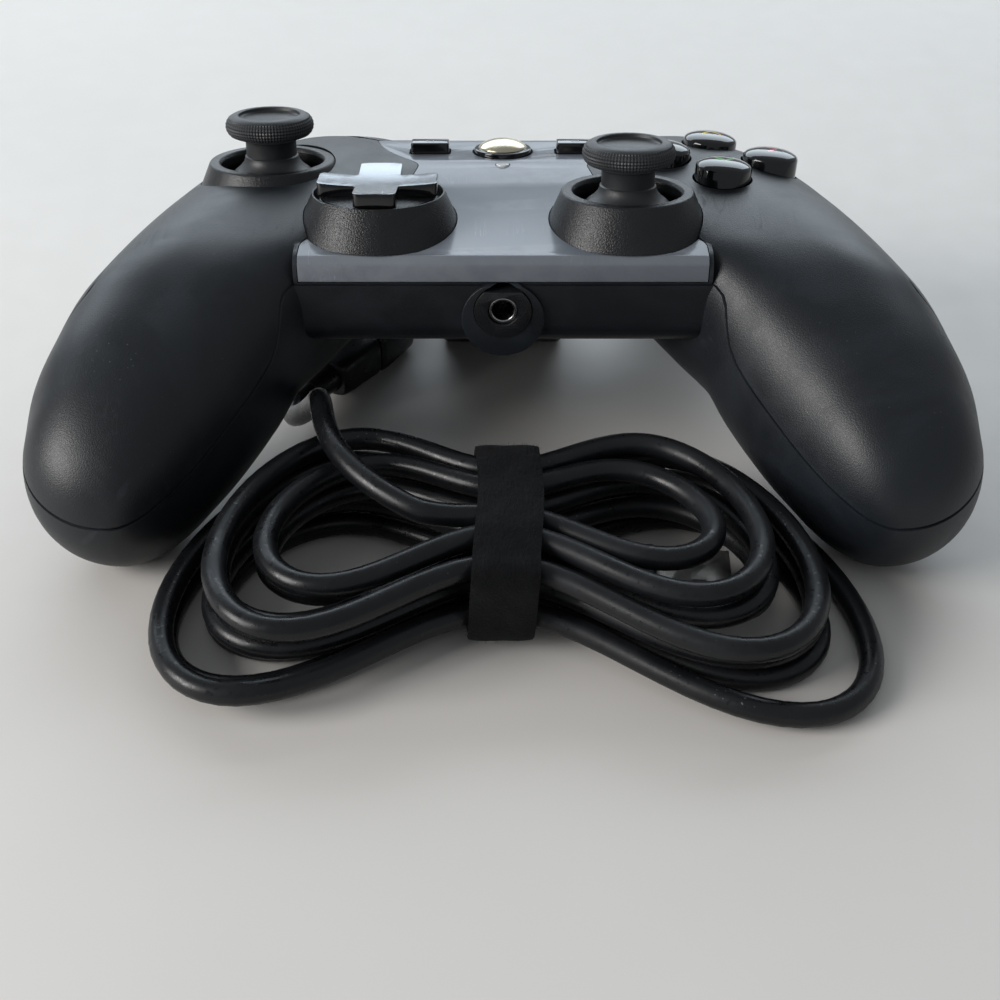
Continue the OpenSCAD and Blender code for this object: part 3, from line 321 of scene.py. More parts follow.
hankSet = dict(y=-47, reach=48.5, reachStep=7.9, reachFall=4.7, fatFront=25.9, fatBack=23.2, fatStep=13.1,
               fatFall=2.7, waist=2.356, waistStep=4.8, waistPart=0.6, backDraw=0.23, bow=9.8, bowReach=60,
               layerStep=4.4, hoist=2.0, hoistReach=18)


def ease(x):
    c = min(max(x, 0), 1)
    return c * c * (3 - 2 * c)


def hankPoint(t):
    h, turns = hankSet, cordSet["turns"]
    layer = min(math.floor(t / turns), cordSet["layers"] - 1)
    part = t / turns - layer
    out = (part if layer % 2 == 0 else 1 - part) * turns
    lift = sum(ease(2 * (t - j * turns) + 0.5) for j in range(1, cordSet["layers"]))
    a = math.radians(360 * t - 90)
    back = (1 + math.sin(a)) / 2
    pinch = math.exp(-(math.cos(a) / h["waistPart"]) ** 2)
    reach = h["reach"] + out * h["reachStep"] - lift * h["reachFall"]
    fat = h["fatFront"] + (h["fatBack"] - h["fatFront"]) * back + out * h["fatStep"] - lift * h["fatFall"]
    waist = h["waist"] + out * h["waistStep"]
    x = -reach * math.cos(a) * (1 - h["backDraw"] * back)
    y = math.sin(a) * (waist * pinch + fat * (1 - pinch)) - h["bow"] * (x / h["bowReach"]) ** 4
    z = cordSet["low"] + h["layerStep"] * lift + h["hoist"] * math.exp(-(x / h["hoistReach"]) ** 2)
    return Vector((x, h["y"] + y, z))


def cordCurve(name, line):
    data = bpy.data.curves.new(name, "CURVE")
    data.dimensions = "3D"
    data.bevel_depth = 1  # times each point's radius, which a curve's box takes in
    data.bevel_resolution = 5
    data.use_fill_caps = True
    spline = data.splines.new("POLY")
    spline.points.add(len(line) - 1)
    for point, p in zip(spline.points, line):
        point.co = (*(Vector(p) * mm), 1)
        point.radius = cordSet["thick"] / 2 * mm
    spline.use_smooth = True
    return placed(name, data)


floorZ = cordSet["low"]
pigtailRoute = [(0, 56, 25.2), (0, 60, 25.2), (0.2, 66, 23.6), (0.5, 72, 19.8), (0.8, 78, 14.6),
                (0.8, 84, 9.2), (0.4, 90, 5), (-1, 96, 2.6), (-4, 101, floorZ), (-9, 103.6, floorZ),
                (-14.6, 102, floorZ), (-18.6, 97, floorZ), (-20.4, 90, floorZ), (-20.4, 82, floorZ),
                (-19.4, 74, floorZ), (-18, 66, floorZ), (-16.8, 58, floorZ), (-16.4, 51, floorZ),
                (-16.6, 45.6, 2.8), onCoupling(couplingFar + 4), onCoupling(couplingFar)]
loops = cordSet["turns"] * cordSet["layers"]
hankFirst = hankPoint(0) + Vector((cordSet["thick"], 0, 0))
hankLast = hankPoint(loops) - Vector((cordSet["thick"], 0, 0))
leadRoute = [onCoupling(-coupling["relief"]), onCoupling(-coupling["relief"] - 4), (-38.6, -0.6, 4.4),
             (-37.4, -5.2, 6.8), (-35, -9.8, 10.6), (-32.6, -14.2, 15), (-31, -18.8, 19), (-30, -24.4, 21),
             (-28.6, -31, 21.2), (-26.2, -37, 20.8), (-22.4, -42.4, 20), (-17.6, -46.6, 19),
             (-12.4, hankLast.y - 0.1, hankLast.z + 0.8), tuple(hankLast - Vector((cordSet["thick"], 0, 0)))]
plugSet = dict(place=(10.2, hankFirst.y + 1.4, 3.5), turn=-3, relief=3.6, body=(10.4, 13, 6.8), corner=1.9,
               edge=0.6, grooveAt=1.5, grooveWide=0.25, grooveDeep=0.2, shell=(11.8, 12, 4.5),
               shellCorner=0.35, shellWall=0.4, windowX=2.9, window=(1.1, 5.4, 7.8), tongue=(-1.6, 0.2))
plugAt = move(*plugSet["place"]) @ spun(plugSet["turn"], "Z")
hankLine = [hankPoint(i / cordSet["perLoop"]) for i in range(cordSet["perLoop"] * loops + 1)]
tailRoute = [tuple(hankPoint(0)), tuple(hankFirst), tuple(hankFirst + Vector((2.1, 0, 0.05))),
             tuple(plugAt @ Vector((-2.1, 0, 0))), plugSet["place"]]
mainLine = through(leadRoute, 2)[:-1] + [hankLast - Vector((cordSet["thick"], 0, 0)), hankLast]
mainLine += list(reversed(hankLine)) + through(tailRoute, 2)[1:]
pigtail = cordCurve("cordPigtail", through(pigtailRoute, 2))
mainCord = cordCurve("cordMain", mainLine)


def lineLength(line):
    return sum((Vector(b) - Vector(a)).length for a, b in zip(line, line[1:])) * mm


pigtailLength, mainLength = lineLength(through(pigtailRoute, 2)), lineLength(mainLine)
print("cords:", round(pigtailLength, 3), "m and", round(mainLength, 3), "m")


# body form: two lofted grips, a middle and a hump under the back
bodySet = dict(half=77, bridgeHalf=33.5, tipReach=50, frontY=-14.3, bridgeLow=27.4, backReach=42, wall=2,
               humpHalf=12, humpFlare=4, humpRound=1.6, middleRound=3.0, middleLap=0.8, panelH=42.8,
               panelT=2.2, lipH=4.3, tilt=9, faceH=48, creaseY=21.4, panelBack=37, freeGap=0.35, fitGap=0.15,
               seam=0.12, stepDeep=0.4, stepTall=0.45, stepProud=0.3, outerPower=2.1, lowPower=2,
               tipTurn=88.5, tipCrowd=0.9, heelTurn=80)
loftFine, loftPlain = (96, 64, 16, 10), (28, 20, 6, 4)  # points a ring, and rings along, at the tip and heel
beyond = 80  # past the body on every side
b = bodySet
half, bridgeHalf, frontY, panelH = b["half"], b["bridgeHalf"], b["frontY"], b["panelH"]
grip = [(-36, bridgeHalf + 12.5, half - 0.4, 0, 16, panelH - 9.8, 2.4),
        (-28, bridgeHalf + 7.5, half, 1.5, 18, panelH - 5.6, 2.6),
        (-20, bridgeHalf + 2.6, half - 1.6, 5.5, 21, panelH - 2.2, 3.2),
        (-14, bridgeHalf - 0.6, half - 3.4, 9.5, 24, panelH, 4.5),
        (-8, bridgeHalf - 6, half - 5.4, 13, 26, panelH + 1.2, 5),
        (4, 20, half - 9.2, 17, 28, panelH + 2, 5),
        (16, 16, half - 13.2, 18, 29, panelH + 1.6, 5),
        (28, 14, half - 18.8, 18, 30, panelH + 1, 4),
        (38, 14, half - 27.2, 20, 31, panelH - 0.8, 3)]
tipY, heelY = grip[0][0], grip[-1][0]
partLine = [(-60, 9.5), (-46, 17), (-33, 22.3), (-22, 28.6), (frontY, panelH - b["lipH"]), (12, 36),
            (26, 33.2), (60, 33)]
creaseH, panelBackH = panelH + 1.1, panelH - 1
panelLine = [(frontY + 1, panelH), (b["creaseY"], creaseH), (b["panelBack"], panelBackH)]


def station(k, y):
    i = 0
    while i < len(grip) - 2 and y > grip[i + 1][0]:
        i += 1

    def slope(j):
        a, z = max(j - 1, 0), min(j + 1, len(grip) - 1)
        return (grip[z][k] - grip[a][k]) / (grip[z][0] - grip[a][0])

    h = grip[i + 1][0] - grip[i][0]
    return hermite((y - grip[i][0]) / h, grip[i][k], grip[i + 1][k], h * slope(i), h * slope(i + 1))


def gripRing(y, place, inset, grow, count):
    x0, x1, low, mid, top, inner = (station(k, y) for k in range(1, 7))
    wide = (x1 - x0) / 2 - inset
    ring = []
    for i in range(count):
        a = 2 * math.pi * i / count
        c, s = math.cos(a), math.sin(a)
        n = b["outerPower"] if c > 1e-9 else b["lowPower"] if s < 0 else inner
        tall = (top - mid if s > 0 else mid - low) - inset
        across, up = grow[0 if c > 0 else 1], grow[2 if s > 0 else 3]
        ring.append(((x0 + x1) / 2 + across * wide * math.copysign(abs(c) ** (2 / n), c), place,
                     mid + up * tall * math.copysign(abs(s) ** (2 / n), s)))
    return ring


def tipBends():
    first, after = grip[0], grip[1]
    slope = [(after[k] - first[k]) / (after[0] - first[0]) for k in range(6)]
    wide = (first[2] - first[1]) / 2
    ends = [-slope[2] / wide, slope[1] / wide]
    ends += [-slope[5] / (first[5] - first[4]), slope[3] / (first[4] - first[3])]
    return [min(1, 1 + 2 * (b["tipReach"] + tipY) * e) for e in ends]


def wing(name, inset, count, spans, tips, heels):
    tipLen, heelLen = b["tipReach"] + tipY - inset, b["backReach"] + 2 - heelY - inset
    rings = []
    for i in range(tips):
        s = math.sin(math.radians(b["tipTurn"] * (1 - i / tips) ** b["tipCrowd"]))
        grow = [math.sqrt((1 - s) * (1 + k * s)) for k in tipBends()]
        rings.append(gripRing(tipY, tipY - tipLen * s, inset, grow, count))
    for i in range(spans + 1):
        y = tipY + (heelY - tipY) * i / spans
        rings.append(gripRing(y, y, inset, [1] * 4, count))
    for i in range(heels):
        a = math.radians(b["heelTurn"] * (i + 1) / heels)
        rings.append(gripRing(heelY, heelY + heelLen * math.sin(a), inset, [math.cos(a)] * 4, count))
    return meshPiece(name, [p for r in rings for p in r], ringFaces(len(rings), count))


under, backY = b["bridgeLow"], b["backReach"]
middleSide = [(frontY, panelH), (frontY, under), (2, under - 5), (14, under - 10), (32, under - 12),
              (backY - 1, under - 8), (backY, panelH - 5), (b["panelBack"] + 1, panelBackH),
              (b["creaseY"], creaseH)]
humpSide = [(2, under - 3), (33, 0), (39.5, 0), (backY, 8), (backY, panelH - 12), (2, panelH - 12)]


def bodyForm(name, inset, fine):
    right = wing(name, inset, *(loftFine if fine else loftPlain))
    left = mirrored(right, name + "L")
    combine(right, left, "UNION")
    side = inward(middleSide, inset)
    if fine:
        side = rounded(side, b["middleRound"], 6)
    reach = bridgeHalf + b["middleLap"]
    combine(right, prism("middle", side, -reach, reach, True), "UNION")
    wide = b["humpHalf"] - inset
    widest = wide + b["humpFlare"]
    hump = prism("hump", inward(humpSide, inset), -widest, widest, True)
    front = [(-wide, -1), (wide, -1), (widest, panelH), (-widest, panelH)]
    taper = prism("taper", front, -beyond, beyond, False, spun(90, "X"))
    combine(hump, taper, "INTERSECT")
    if fine:
        softEdges(hump, b["humpRound"], 4, 20)
    return combine(right, hump, "UNION")


def onFace(x, v, w=0):
    return move(0, 0, b["faceH"]) @ spun(-b["tilt"], "X") @ move(x, v, w)


# half of the panel's outline: lip, collar cut-out, neck, and a waist where the wing ends in a tongue
panelHalf = [(33.5, -20), (33.5, -9), (31, -5), (21, 1.5), (17, 1.5), (17, 12), (14.9, 21.2), (21.5, 29.5),
             (24, 37.5), (24, 60)]
panelRounds = [0, 1.2, 2, 0, 2.5, 3.5, 1.6, 4, 3, 0]


def panelOutline(grow):
    outline = inward(panelHalf + [(-x, y) for x, y in reversed(panelHalf)], -grow)
    return rounded(outline, panelRounds + panelRounds[::-1], 6)


def panelSpace(grow):
    lipBack = frontY + b["panelT"] + grow
    side = [(-60, panelH - b["lipH"] - grow), (lipBack, panelH - b["lipH"] - grow),
            (lipBack, panelH - b["panelT"] - grow)]
    side += [(y, z - b["panelT"] - grow) for y, z in panelLine[1:]]
    side += [(beyond, panelBackH - b["panelT"] - grow), (beyond, beyond), (-60, beyond)]
    space = prism("panelSpace", panelOutline(grow), 0, 2 * panelH)
    return combine(space, prism("panelSide", side, -half, half, True), "INTERSECT")


triggerSet = dict(x=25.5, wide=20.5, y=36, z=29.4, pin=3, pinGap=0.15, pocketFront=3.4, pocketTop=3.5)
bumperSet = dict(x=13.5, low=panelH - 6.7, pinX=16.5, pinY=39.4, pin=2.5, pinGap=0.05, deep=1.7, corner=1.5,
                 slack=0.035, edge=0.45)
coverSet = dict(front=37.3, back=41.3, drop=3, tall=40, ear=2.6, earTall=3.4)
bumperEdge = [(13.5, 37.4), (24, 37.4), (30, 39.8), (34, 40.6), (42, 40.6), (47, 36.8), (half, 36.8)]


def bumperSpace(name, grow, slack):
    outline = [(x - (grow if x == bumperSet["x"] else 0), y - grow - (x - bumperSet["x"]) * slack)
               for x, y in bumperEdge]
    outline = rounded(outline, bumperSet["corner"], 4, False)
    outline += [(half, beyond), (bumperSet["x"] - grow, beyond)]
    return prism(name, outline, bumperSet["low"] - grow, beyond)


def hollows(grow):
    t, free, fit = triggerSet, b["freeGap"], b["fitGap"]
    made = [panelSpace(fit + grow)]
    pocket = block("pocket", (t["x"] - free - grow, t["y"] - t["pocketFront"] - grow, -1 - grow),
                   (t["x"] + t["wide"] + free + grow, beyond, t["z"] + t["pocketTop"] + grow))
    corner = bumperSpace("corner", free + grow, bumperSet["slack"])
    made += [pocket, mirrored(pocket, "pocketL"), corner, mirrored(corner, "cornerL")]
    c, g = coverSet, fit + grow
    low, front = bumperSet["low"] - c["drop"] - g, c["front"] - g
    wide, ears = bumperSet["x"] + 1, bumperSet["pinX"] + c["ear"] + g
    made.append(block("coverHole", (-wide, front, low), (wide, beyond, low + c["tall"])))
    made.append(block("earHole", (-ears, front, low), (ears, c["back"] + g, low + c["earTall"] + g)))
    return made


partCurve = [tuple(p) for p in through([(y, z, 0) for y, z in partLine], 2)]


def abovePart(name, lift):
    line = [(p[0], p[1] + lift) for p in partCurve]
    return prism(name, line + [(60, beyond), (-60, beyond)], -half - 5, half + 5, True)


def partZ(y):
    for p, q in zip(partCurve, partCurve[1:]):
        if p[0] <= y <= q[0]:
            return p[1] + (q[1] - p[1]) * (y - p[0]) / (q[0] - p[0])
    return partCurve[-1][1]


form = bodyForm("bodyForm", 0, True)
print("body form:", len(form.data.polygons), "faces")

collarSet = dict(rim=11.1, base=14.2, open=9.1, drop=7, spigot=12.7, spigotDeep=2.4, spigotWall=1.5,
                 dpadSink=1.3, well=9, hole=5)
stickPlaces = dict(left=(-41.6, 21.7), right=(21, 1.5))
dpadPlace = (-21, 1.5)
padSet = dict(x=38.8, v=23.7, r=9.8, roll=4, wide=9.9, flange=5.85, flangeLow=-6.4, flangeTop=-5.2, press=1.2)
padTurns = dict(near=180, right=90, left=270, far=0)
rowSet = dict(v=29.8, optionX=13.4, optionW=7, optionD=3.6, home=10.5, light=2.4)
jackSet = dict(z=33.6, bore=3.6, boss=13.7, bossLow=1.6, bossProud=0.7, bossEdge=0.35, trim=9.5, trimGap=0.15)


def onPad(turn, w=0):
    a = math.radians(turn)
    return (onFace(padSet["x"], padSet["v"]) @ spun(padSet["roll"], "Y")
            @ move(padSet["r"] * math.sin(a), padSet["r"] * math.cos(a), w))


def collarCone(name, place, grow):
    c = collarSet
    rim, spigot, low = c["rim"] + grow, c["spigot"] + grow, -c["drop"]
    profile = [(0, 1), (rim, 1), (rim, 0), (c["base"] + grow, low), (spigot, low - grow),
               (spigot, low - c["hole"]), (0, low - c["hole"])]
    return lathe(name, profile, 96, place)


def collarHoles(grow, every=True):
    spots = [stickPlaces["right"], dpadPlace] + ([stickPlaces["left"]] if every else [])
    return [collarCone("hole", onFace(*s), grow) for s in spots]


def rod(name, radius, low, high, place, count=48):
    return prism(name, disc(radius, count), low, high, False, place)


screwPlaces = [(37, -4), (-37, -4), (59, -20), (-59, -20), (0, 10)]
screwSet = dict(post=3, head=2.25, headDeep=5, shank=1.15, shankDeep=9)
shellSet = dict(rowPast=2, rowDeep=6.2, rowLow=-12, rowTop=-1.9, light=2, boot=4.35, bootY=36, bootZ=25.2)
alongY = spun(-90, "X")
alongX = spun(90, "Y")


def makeShells():
    skin = copyOf(form, "skin")
    for h in hollows(0):
        combine(skin, h)
    core = bodyForm("core", b["wall"], False)
    for h in hollows(b["wall"]):
        combine(core, h)
    combine(skin, core)
    top, bottom = copyOf(skin, "topShell"), copyOf(skin, "bottomShell")
    bpy.data.objects.remove(skin)
    combine(top, abovePart("above", b["seam"]), "INTERSECT")
    combine(bottom, abovePart("above", -b["seam"]))
    step = bodyForm("step", -b["stepProud"], True)  # the small groove under the parting line
    combine(step, abovePart("above", -b["seam"] - b["stepTall"]), "INTERSECT")
    combine(step, abovePart("above", b["seam"]))
    combine(step, bodyForm("inner", b["stepDeep"], True))
    combine(bottom, step)
    for h in collarHoles(b["fitGap"]):
        combine(top, h)
    p, gap = padSet, b["freeGap"]
    roomLow, roomTop = p["flangeLow"] - p["press"] - gap, p["flangeTop"] + gap
    for turn in padTurns.values():
        combine(top, rod("hole", p["wide"] / 2 + gap, -9, 11, onPad(turn)))
        combine(top, rod("room", p["flange"] + gap, roomLow, roomTop, onPad(turn)))
    s = shellSet
    row = rowSet["optionX"] + rowSet["optionW"] / 2 + s["rowPast"]
    rowLow, rowHigh = (-row, -s["rowDeep"], s["rowLow"]), (row, s["rowDeep"], s["rowTop"])
    combine(top, block("row", rowLow, rowHigh, onFace(0, rowSet["v"])))
    combine(top, rod("lightHole", s["light"], -12, 18, onFace(0, b["creaseY"])))
    j = jackSet
    bossAt = move(0, frontY - j["bossProud"], j["z"] - j["bossLow"]) @ alongY
    boss = rod("boss", j["boss"] / 2, 0, 8, bossAt, 64)
    combine(boss, abovePart("above", -b["seam"]))
    softEdges(boss, j["bossEdge"])
    combine(bottom, boss, "UNION")
    inside = bodyForm("inside", b["wall"] / 2, False)
    c = screwSet
    for x, y in screwPlaces:
        post = rod("post", c["post"], partZ(y) - 40, partZ(y) - 0.2, move(x, y), 24)
        combine(post, inside, "INTERSECT", True)
        combine(bottom, post, "UNION")
    bpy.data.objects.remove(inside)
    for x, y in screwPlaces:
        at, z = move(x, y), partZ(y)
        combine(bottom, rod("head", c["head"], z - 65, z - c["headDeep"], at, 32))
        combine(bottom, rod("shank", c["shank"], z - c["shankDeep"], z + 1, at, 24))
    t = triggerSet
    for end in (-half, half):
        place = move(0, t["y"], t["z"]) @ alongX
        low, high = sorted((0, end))
        combine(bottom, rod("pinHole", t["pin"] / 2 + t["pinGap"], low, high, place, 32))
    bootAt = move(0, s["bootY"], s["bootZ"]) @ alongY
    combine(bottom, rod("bootHole", s["boot"], 0, 12, bootAt))
    trimAt = move(0, frontY - 5, j["z"]) @ alongY
    combine(bottom, rod("trimHole", j["trim"] / 2 + j["trimGap"], 0, 20, trimAt))
    return top, bottom


topShell, bottomShell = makeShells()
print("shells:", len(topShell.data.polygons), len(bottomShell.data.polygons))


# bumpers, solid corners of the same form
def makeBumper():
    piece = copyOf(form, "rightBumper")
    combine(piece, bumperSpace("corner", 0, 0), "INTERSECT")
    s = bumperSet
    boreAt = move(s["pinX"], s["pinY"])
    boreTop = s["low"] + s["deep"] + 0.3
    combine(piece, rod("bore", s["pin"] / 2 + s["pinGap"], s["low"] - 5, boreTop, boreAt, 24))
    return softEdges(piece, s["edge"])


rightBumper = makeBumper()
leftBumper = mirrored(rightBumper, "leftBumper")
bpy.data.objects.remove(form)


# face panel: bent plate with a turned-down lip, holed for the controls
panelSet = dict(rounds=[0.4, 0.35, 0.35, 3, 0.3, 0, 3, 0.6, 0.3], optionCorner=0.9, edge=0.3, deep=10)


def makePanel():
    p, t, lip = panelSet, b["panelT"], b["lipH"]
    under = [(y, z - t) for y, z in reversed(panelLine[1:])]
    side = [(frontY, panelH - lip), (frontY, panelH - 1)] + panelLine + under
    side += [(frontY + t, panelH - t), (frontY + t, panelH - lip)]
    side = rounded(side, p["rounds"], 5)
    piece = prism("facePanel", panelOutline(0), 0, 2 * panelH)
    combine(piece, prism("side", side, -half, half, True), "INTERSECT")
    for hole in collarHoles(b["fitGap"], False):
        combine(piece, hole)
    gap, far = b["freeGap"], p["deep"]
    wide, deep = rowSet["optionW"] / 2 + gap, rowSet["optionD"] / 2 + gap
    corner = rounded(rectangle(wide, deep), p["optionCorner"], 5)
    for s in (-1, 1):
        combine(piece, prism("hole", corner, -far, far, False, onFace(s * rowSet["optionX"], rowSet["v"])))
    combine(piece, rod("hole", rowSet["home"] / 2 + gap, -far, far, onFace(0, rowSet["v"]), 96))
    combine(piece, rod("hole", rowSet["light"] / 2 + b["fitGap"], -far, far, onFace(0, b["creaseY"]), 32))
    return softEdges(piece, p["edge"], 3, 32)


facePanel = makePanel()


# collars: the cone's outside and spigot, with the rim of a stick's opening or of the cross's well
def collarSide():
    c = collarSet
    low, deep, inner = -c["drop"], -c["drop"] - c["spigotDeep"], c["spigot"] - c["spigotWall"]
    return [(c["rim"] + 0.1, -0.25), (c["base"], low), (c["spigot"], low), (c["spigot"], deep), (inner, deep),
            (inner, low + 0.5)]


def makeCollar(name, place):
    c = collarSet
    rim = [(c["open"], -0.7), (c["open"] + 0.4, 0), (c["rim"] - 0.15, 0)]
    rounds = [0.2, 0.2, 0.3, 0.3, 0.1, 0, 0, 0, 0.3, 0.4]
    return lathe(name, rounded(rim + collarSide() + [(c["open"], -2.4)], rounds, 3), 128, place, True)


def makeDpadCollar():
    c, sink = collarSet, collarSet["dpadSink"]
    rim = [(c["well"], -1.3 - sink), (c["rim"] - 0.6, -0.9 - sink), (c["rim"] - 0.2, -0.25)]
    rounds = [0.2, 0.4, 0.12, 0.15, 0.1, 0, 0, 0, 0.3, 0.3]
    profile = rounded(rim + collarSide() + [(c["well"], -3 - sink)], rounds, 4)
    return lathe("dpadCollar", profile, 128, onFace(*dpadPlace), True)


leftCollar, rightCollar = (makeCollar(s + "Collar", onFace(*stickPlaces[s])) for s in ("left", "right"))
dpadCollar = makeDpadCollar()

# stick caps: dished top, rolled rim, dotted side and a dust dome round the pivot
capSet = dict(r=7.75, lift=4.3, tall=3.9, roll=1.9, dish=1.15, dishR=5.5, neck=4.5, flare=1.4, pivot=10,
              dome=10.6, domeT=0.6, domeEdge=50, post=2.05, dots=176, dotRows=13, dotHigh=0.12, dotTop=46,
              dotTurn=98)
dishLine = ((0, 1), (0.3, 0.99), (0.6, 0.94), (0.8, 0.86), (0.91, 0.76), (0.97, 0.5), (0.99, 0.1))
rollAngles = (97, 86, 76, 67, 59, 52)
neckLine = ((1.5, -0.05), (0.7, -0.3), (0.2, -0.55), (0, -0.95))
skirtLine = ((0, 1.0), (0.25, 0.8), (0.3, 0.35), (0.6, -0.3))


def makeCap(name, place):
    c = capSet
    r, low, high = c["r"], c["lift"], c["lift"] + c["tall"]
    rows, n = c["dotRows"], c["dots"]

    def onRoll(a, out=0):
        a = math.radians(a)
        return (r - c["roll"] + c["roll"] * math.cos(a) - out, high - c["tall"] / 2 * (1 - math.sin(a)))

    top = [(c["dishR"] * k, high - c["dish"] * sag) for k, sag in dishLine]
    top += [onRoll(a) for a in rollAngles]
    side = [onRoll(c["dotTop"] - c["dotTurn"] * k / (rows - 1), c["dotHigh"]) for k in range(rows)]
    angleTop = math.degrees(math.asin((c["neck"] + c["flare"]) / c["dome"]))
    under = [onRoll(-60)] + [(c["neck"] + out, low + z) for out, z in neckLine]
    under += [(c["neck"] + out, z) for out, z in skirtLine]
    arc = [angleTop + (c["domeEdge"] - angleTop) * k / 10 for k in range(11)]
    inner = c["dome"] - c["domeT"]

    def onDome(radius, a):
        return (radius * math.sin(math.radians(a)), radius * math.cos(math.radians(a)) - c["pivot"])

    dome = [onDome(c["dome"], a) for a in arc] + [onDome(inner, a) for a in reversed(arc)]
    hole = [(c["post"], onDome(inner, angleTop)[1]), (c["post"], low - 1), (0, low - 1)]
    piece = lathe(name, top + side + under + dome + hole, n)
    start = 1 + (len(top) - 1) * n
    for k in range(0, rows, 2):
        for i in range(0, n, 2):
            v = piece.data.vertices[start + k * n + i]
            flat = Vector((v.co.x, v.co.y, 0)).normalized()
            v.co += flat * 2 * c["dotHigh"] * mm
    piece.data.transform(Matrix.Diagonal((1 / mm, 1 / mm, 1 / mm, 1)))
    piece.data.transform(place)
    piece.data.transform(Matrix.Diagonal((mm, mm, mm, 1)))
    return piece


leftCap, rightCap = (makeCap(s + "Cap", onFace(*stickPlaces[s])) for s in ("left", "right"))

# direction cross: dished plate over a skirt and fork
crossSet = dict(span=20.1, arm=7.1, low=1.05, tall=2.25, dish=0.6, dishReach=1.3, dishRows=14,
                rounds=[1.1, 1.1, 0.5], edge=0.75, axis=3, leg=(1.8, 0.8, 3.4), foot=0.9, footReach=7.1,
                footLow=-5.2)
crossBase = [(0, 1.12), (6, 1.06), (9.4, 0.8), (9.75, 0.66), (9.8, 0.35), (9.6, 0.1), (8.2, -0.1), (8, -0.4),
             (8, -2), (6.6, -2), (6.6, -0.2), (0, -0.2)]


def makeCross():
    c = crossSet
    s, a = c["span"] / 2, c["arm"] / 2
    at = onFace(dpadPlace[0], dpadPlace[1], -collarSet["dpadSink"])
    outline = [(-a, -s), (a, -s), (a, -a), (s, -a), (s, a), (a, a), (a, s), (-a, s), (-a, a), (-s, a),
               (-s, -a), (-a, -a)]
    top = c["low"] + c["tall"]
    piece = prism("dpadCross", rounded(outline, c["rounds"] * 4, 5), c["low"], top, False, at)
    ball, reach = s * s / (2 * c["dish"]), c["dishReach"] * s
    dish = [(0, top + 3), (reach, top + 3)]
    for k in range(c["dishRows"], -1, -1):
        out = reach * k / c["dishRows"]
        dish.append((out, top + out ** 2 / (2 * ball) - c["dish"]))
    combine(piece, lathe("dish", dish, 96, at))
    softEdges(piece, c["edge"], 6)
    parts = [piece, lathe("skirt", crossBase, 96, at)]
    wide, thick, away = c["leg"]
    for y in (-away, away):
        low, high = (-wide, y - thick, -c["axis"] - 1.5), (wide, y + thick, c["low"] + 0.2)
        parts.append(block("leg", low, high, at))
    for x, y in disc(c["footReach"], 4):
        parts.append(rod("foot", c["foot"], c["footLow"], -1, at @ move(x, y), 20))
    return joined("dpadCross", parts)


dpadCross = makeCross()

# face buttons: domed discs with a stem, each with a plain arrow mark
buttonSet = dict(padSet, r=4.95, arrow=1.75, arrowWide=0.62, arrowSlant=1.41, arrowSteps=6, markLift=0.012)
domeLine = [(1, 0.6), (0.975, 0.93), (0.93, 1.17), (0.86, 1.4), (0.72, 1.68), (0.55, 1.9), (0.36, 2.02),
            (0.18, 2.08), (0, 2.1)]


def domeHeight(x, y):
    r = math.hypot(x, y) / buttonSet["r"]
    for (r1, z1), (r0, z0) in zip(domeLine, domeLine[1:]):
        if r0 <= r <= r1:
            return z0 + (z1 - z0) * (r - r0) / max(r1 - r0, 1e-6)
    return domeLine[0][1]


def makeButton(name, turn):
    s = buttonSet
    low, top = s["flangeLow"], s["flangeTop"]
    profile = [(0, low), (s["flange"], low), (s["flange"], top), (s["r"], top)]
    profile += [(r * s["r"], z) for r, z in domeLine]
    return lathe(name, profile, 72, onPad(turn))


def makeArrow(name, turn):
    s = buttonSet
    a, w, n = s["arrow"], s["arrowWide"], s["arrowSteps"]
    line = [(-a, -a * 0.5)] + [(-a + a * k / n, -a * 0.5 + a * k / n) for k in range(1, n + 1)]
    line += [(a * k / n, a * 0.5 - a * k / n) for k in range(1, n + 1)]
    points, faces = [], []
    c, sn = math.cos(math.radians(-turn)), math.sin(math.radians(-turn))
    for x, y in line:
        for k in range(4):
            py = y + w * (k / 3 - 0.5) * s["arrowSlant"]
            qx, qy = c * x - sn * py, sn * x + c * py
            points.append((qx, qy, domeHeight(qx, qy) + s["markLift"]))
    for i in range(len(line) - 1):
        for k in range(3):
            faces.append((i * 4 + k, i * 4 + 4 + k, i * 4 + 5 + k, i * 4 + 1 + k))
    return meshPiece(name, points, faces, onPad(turn))


buttons = {way: makeButton("button" + way.title(), turn) for way, turn in padTurns.items()}
arrows = {way: makeArrow("arrow" + way.title(), turn) for way, turn in padTurns.items()}


# option buttons and home button
optionSet = dict(low=-3.6, top=1.4, corner=0.6, edge=0.22, flange=(0.6, 1.2, 1), markLift=0.012)
optionSquare = ((0, 0.62, 1.3, 0.17), (0, -0.62, 1.3, 0.17), (-0.57, 0, 0.17, 1.1), (0.57, 0, 0.17, 1.1))


def makeOption(name, side):
    s = optionSet
    wide, deep = rowSet["optionW"] / 2, rowSet["optionD"] / 2
    at = onFace(side * rowSet["optionX"], rowSet["v"])
    piece = prism(name, rounded(rectangle(wide, deep), s["corner"], 5), s["low"], s["top"], False, at)
    softEdges(piece, s["edge"])
    x, y, thick = wide + s["flange"][0], deep + s["flange"][1], s["flange"][2]
    return joined(name, [piece, block("flange", (-x, -y, s["low"] - thick), (x, y, s["low"]), at)])


def makeOptionMark(name, side):
    at = onFace(side * rowSet["optionX"], rowSet["v"])
    high = optionSet["top"] + optionSet["markLift"]
    points, faces = [], []
    for x, y, w, d in optionSquare:
        k = len(points)
        points += [(x + across, y + along, high) for across, along in rectangle(w / 2, d / 2)]
        faces.append((k, k + 1, k + 2, k + 3))
    return meshPiece(name, points, faces, at)


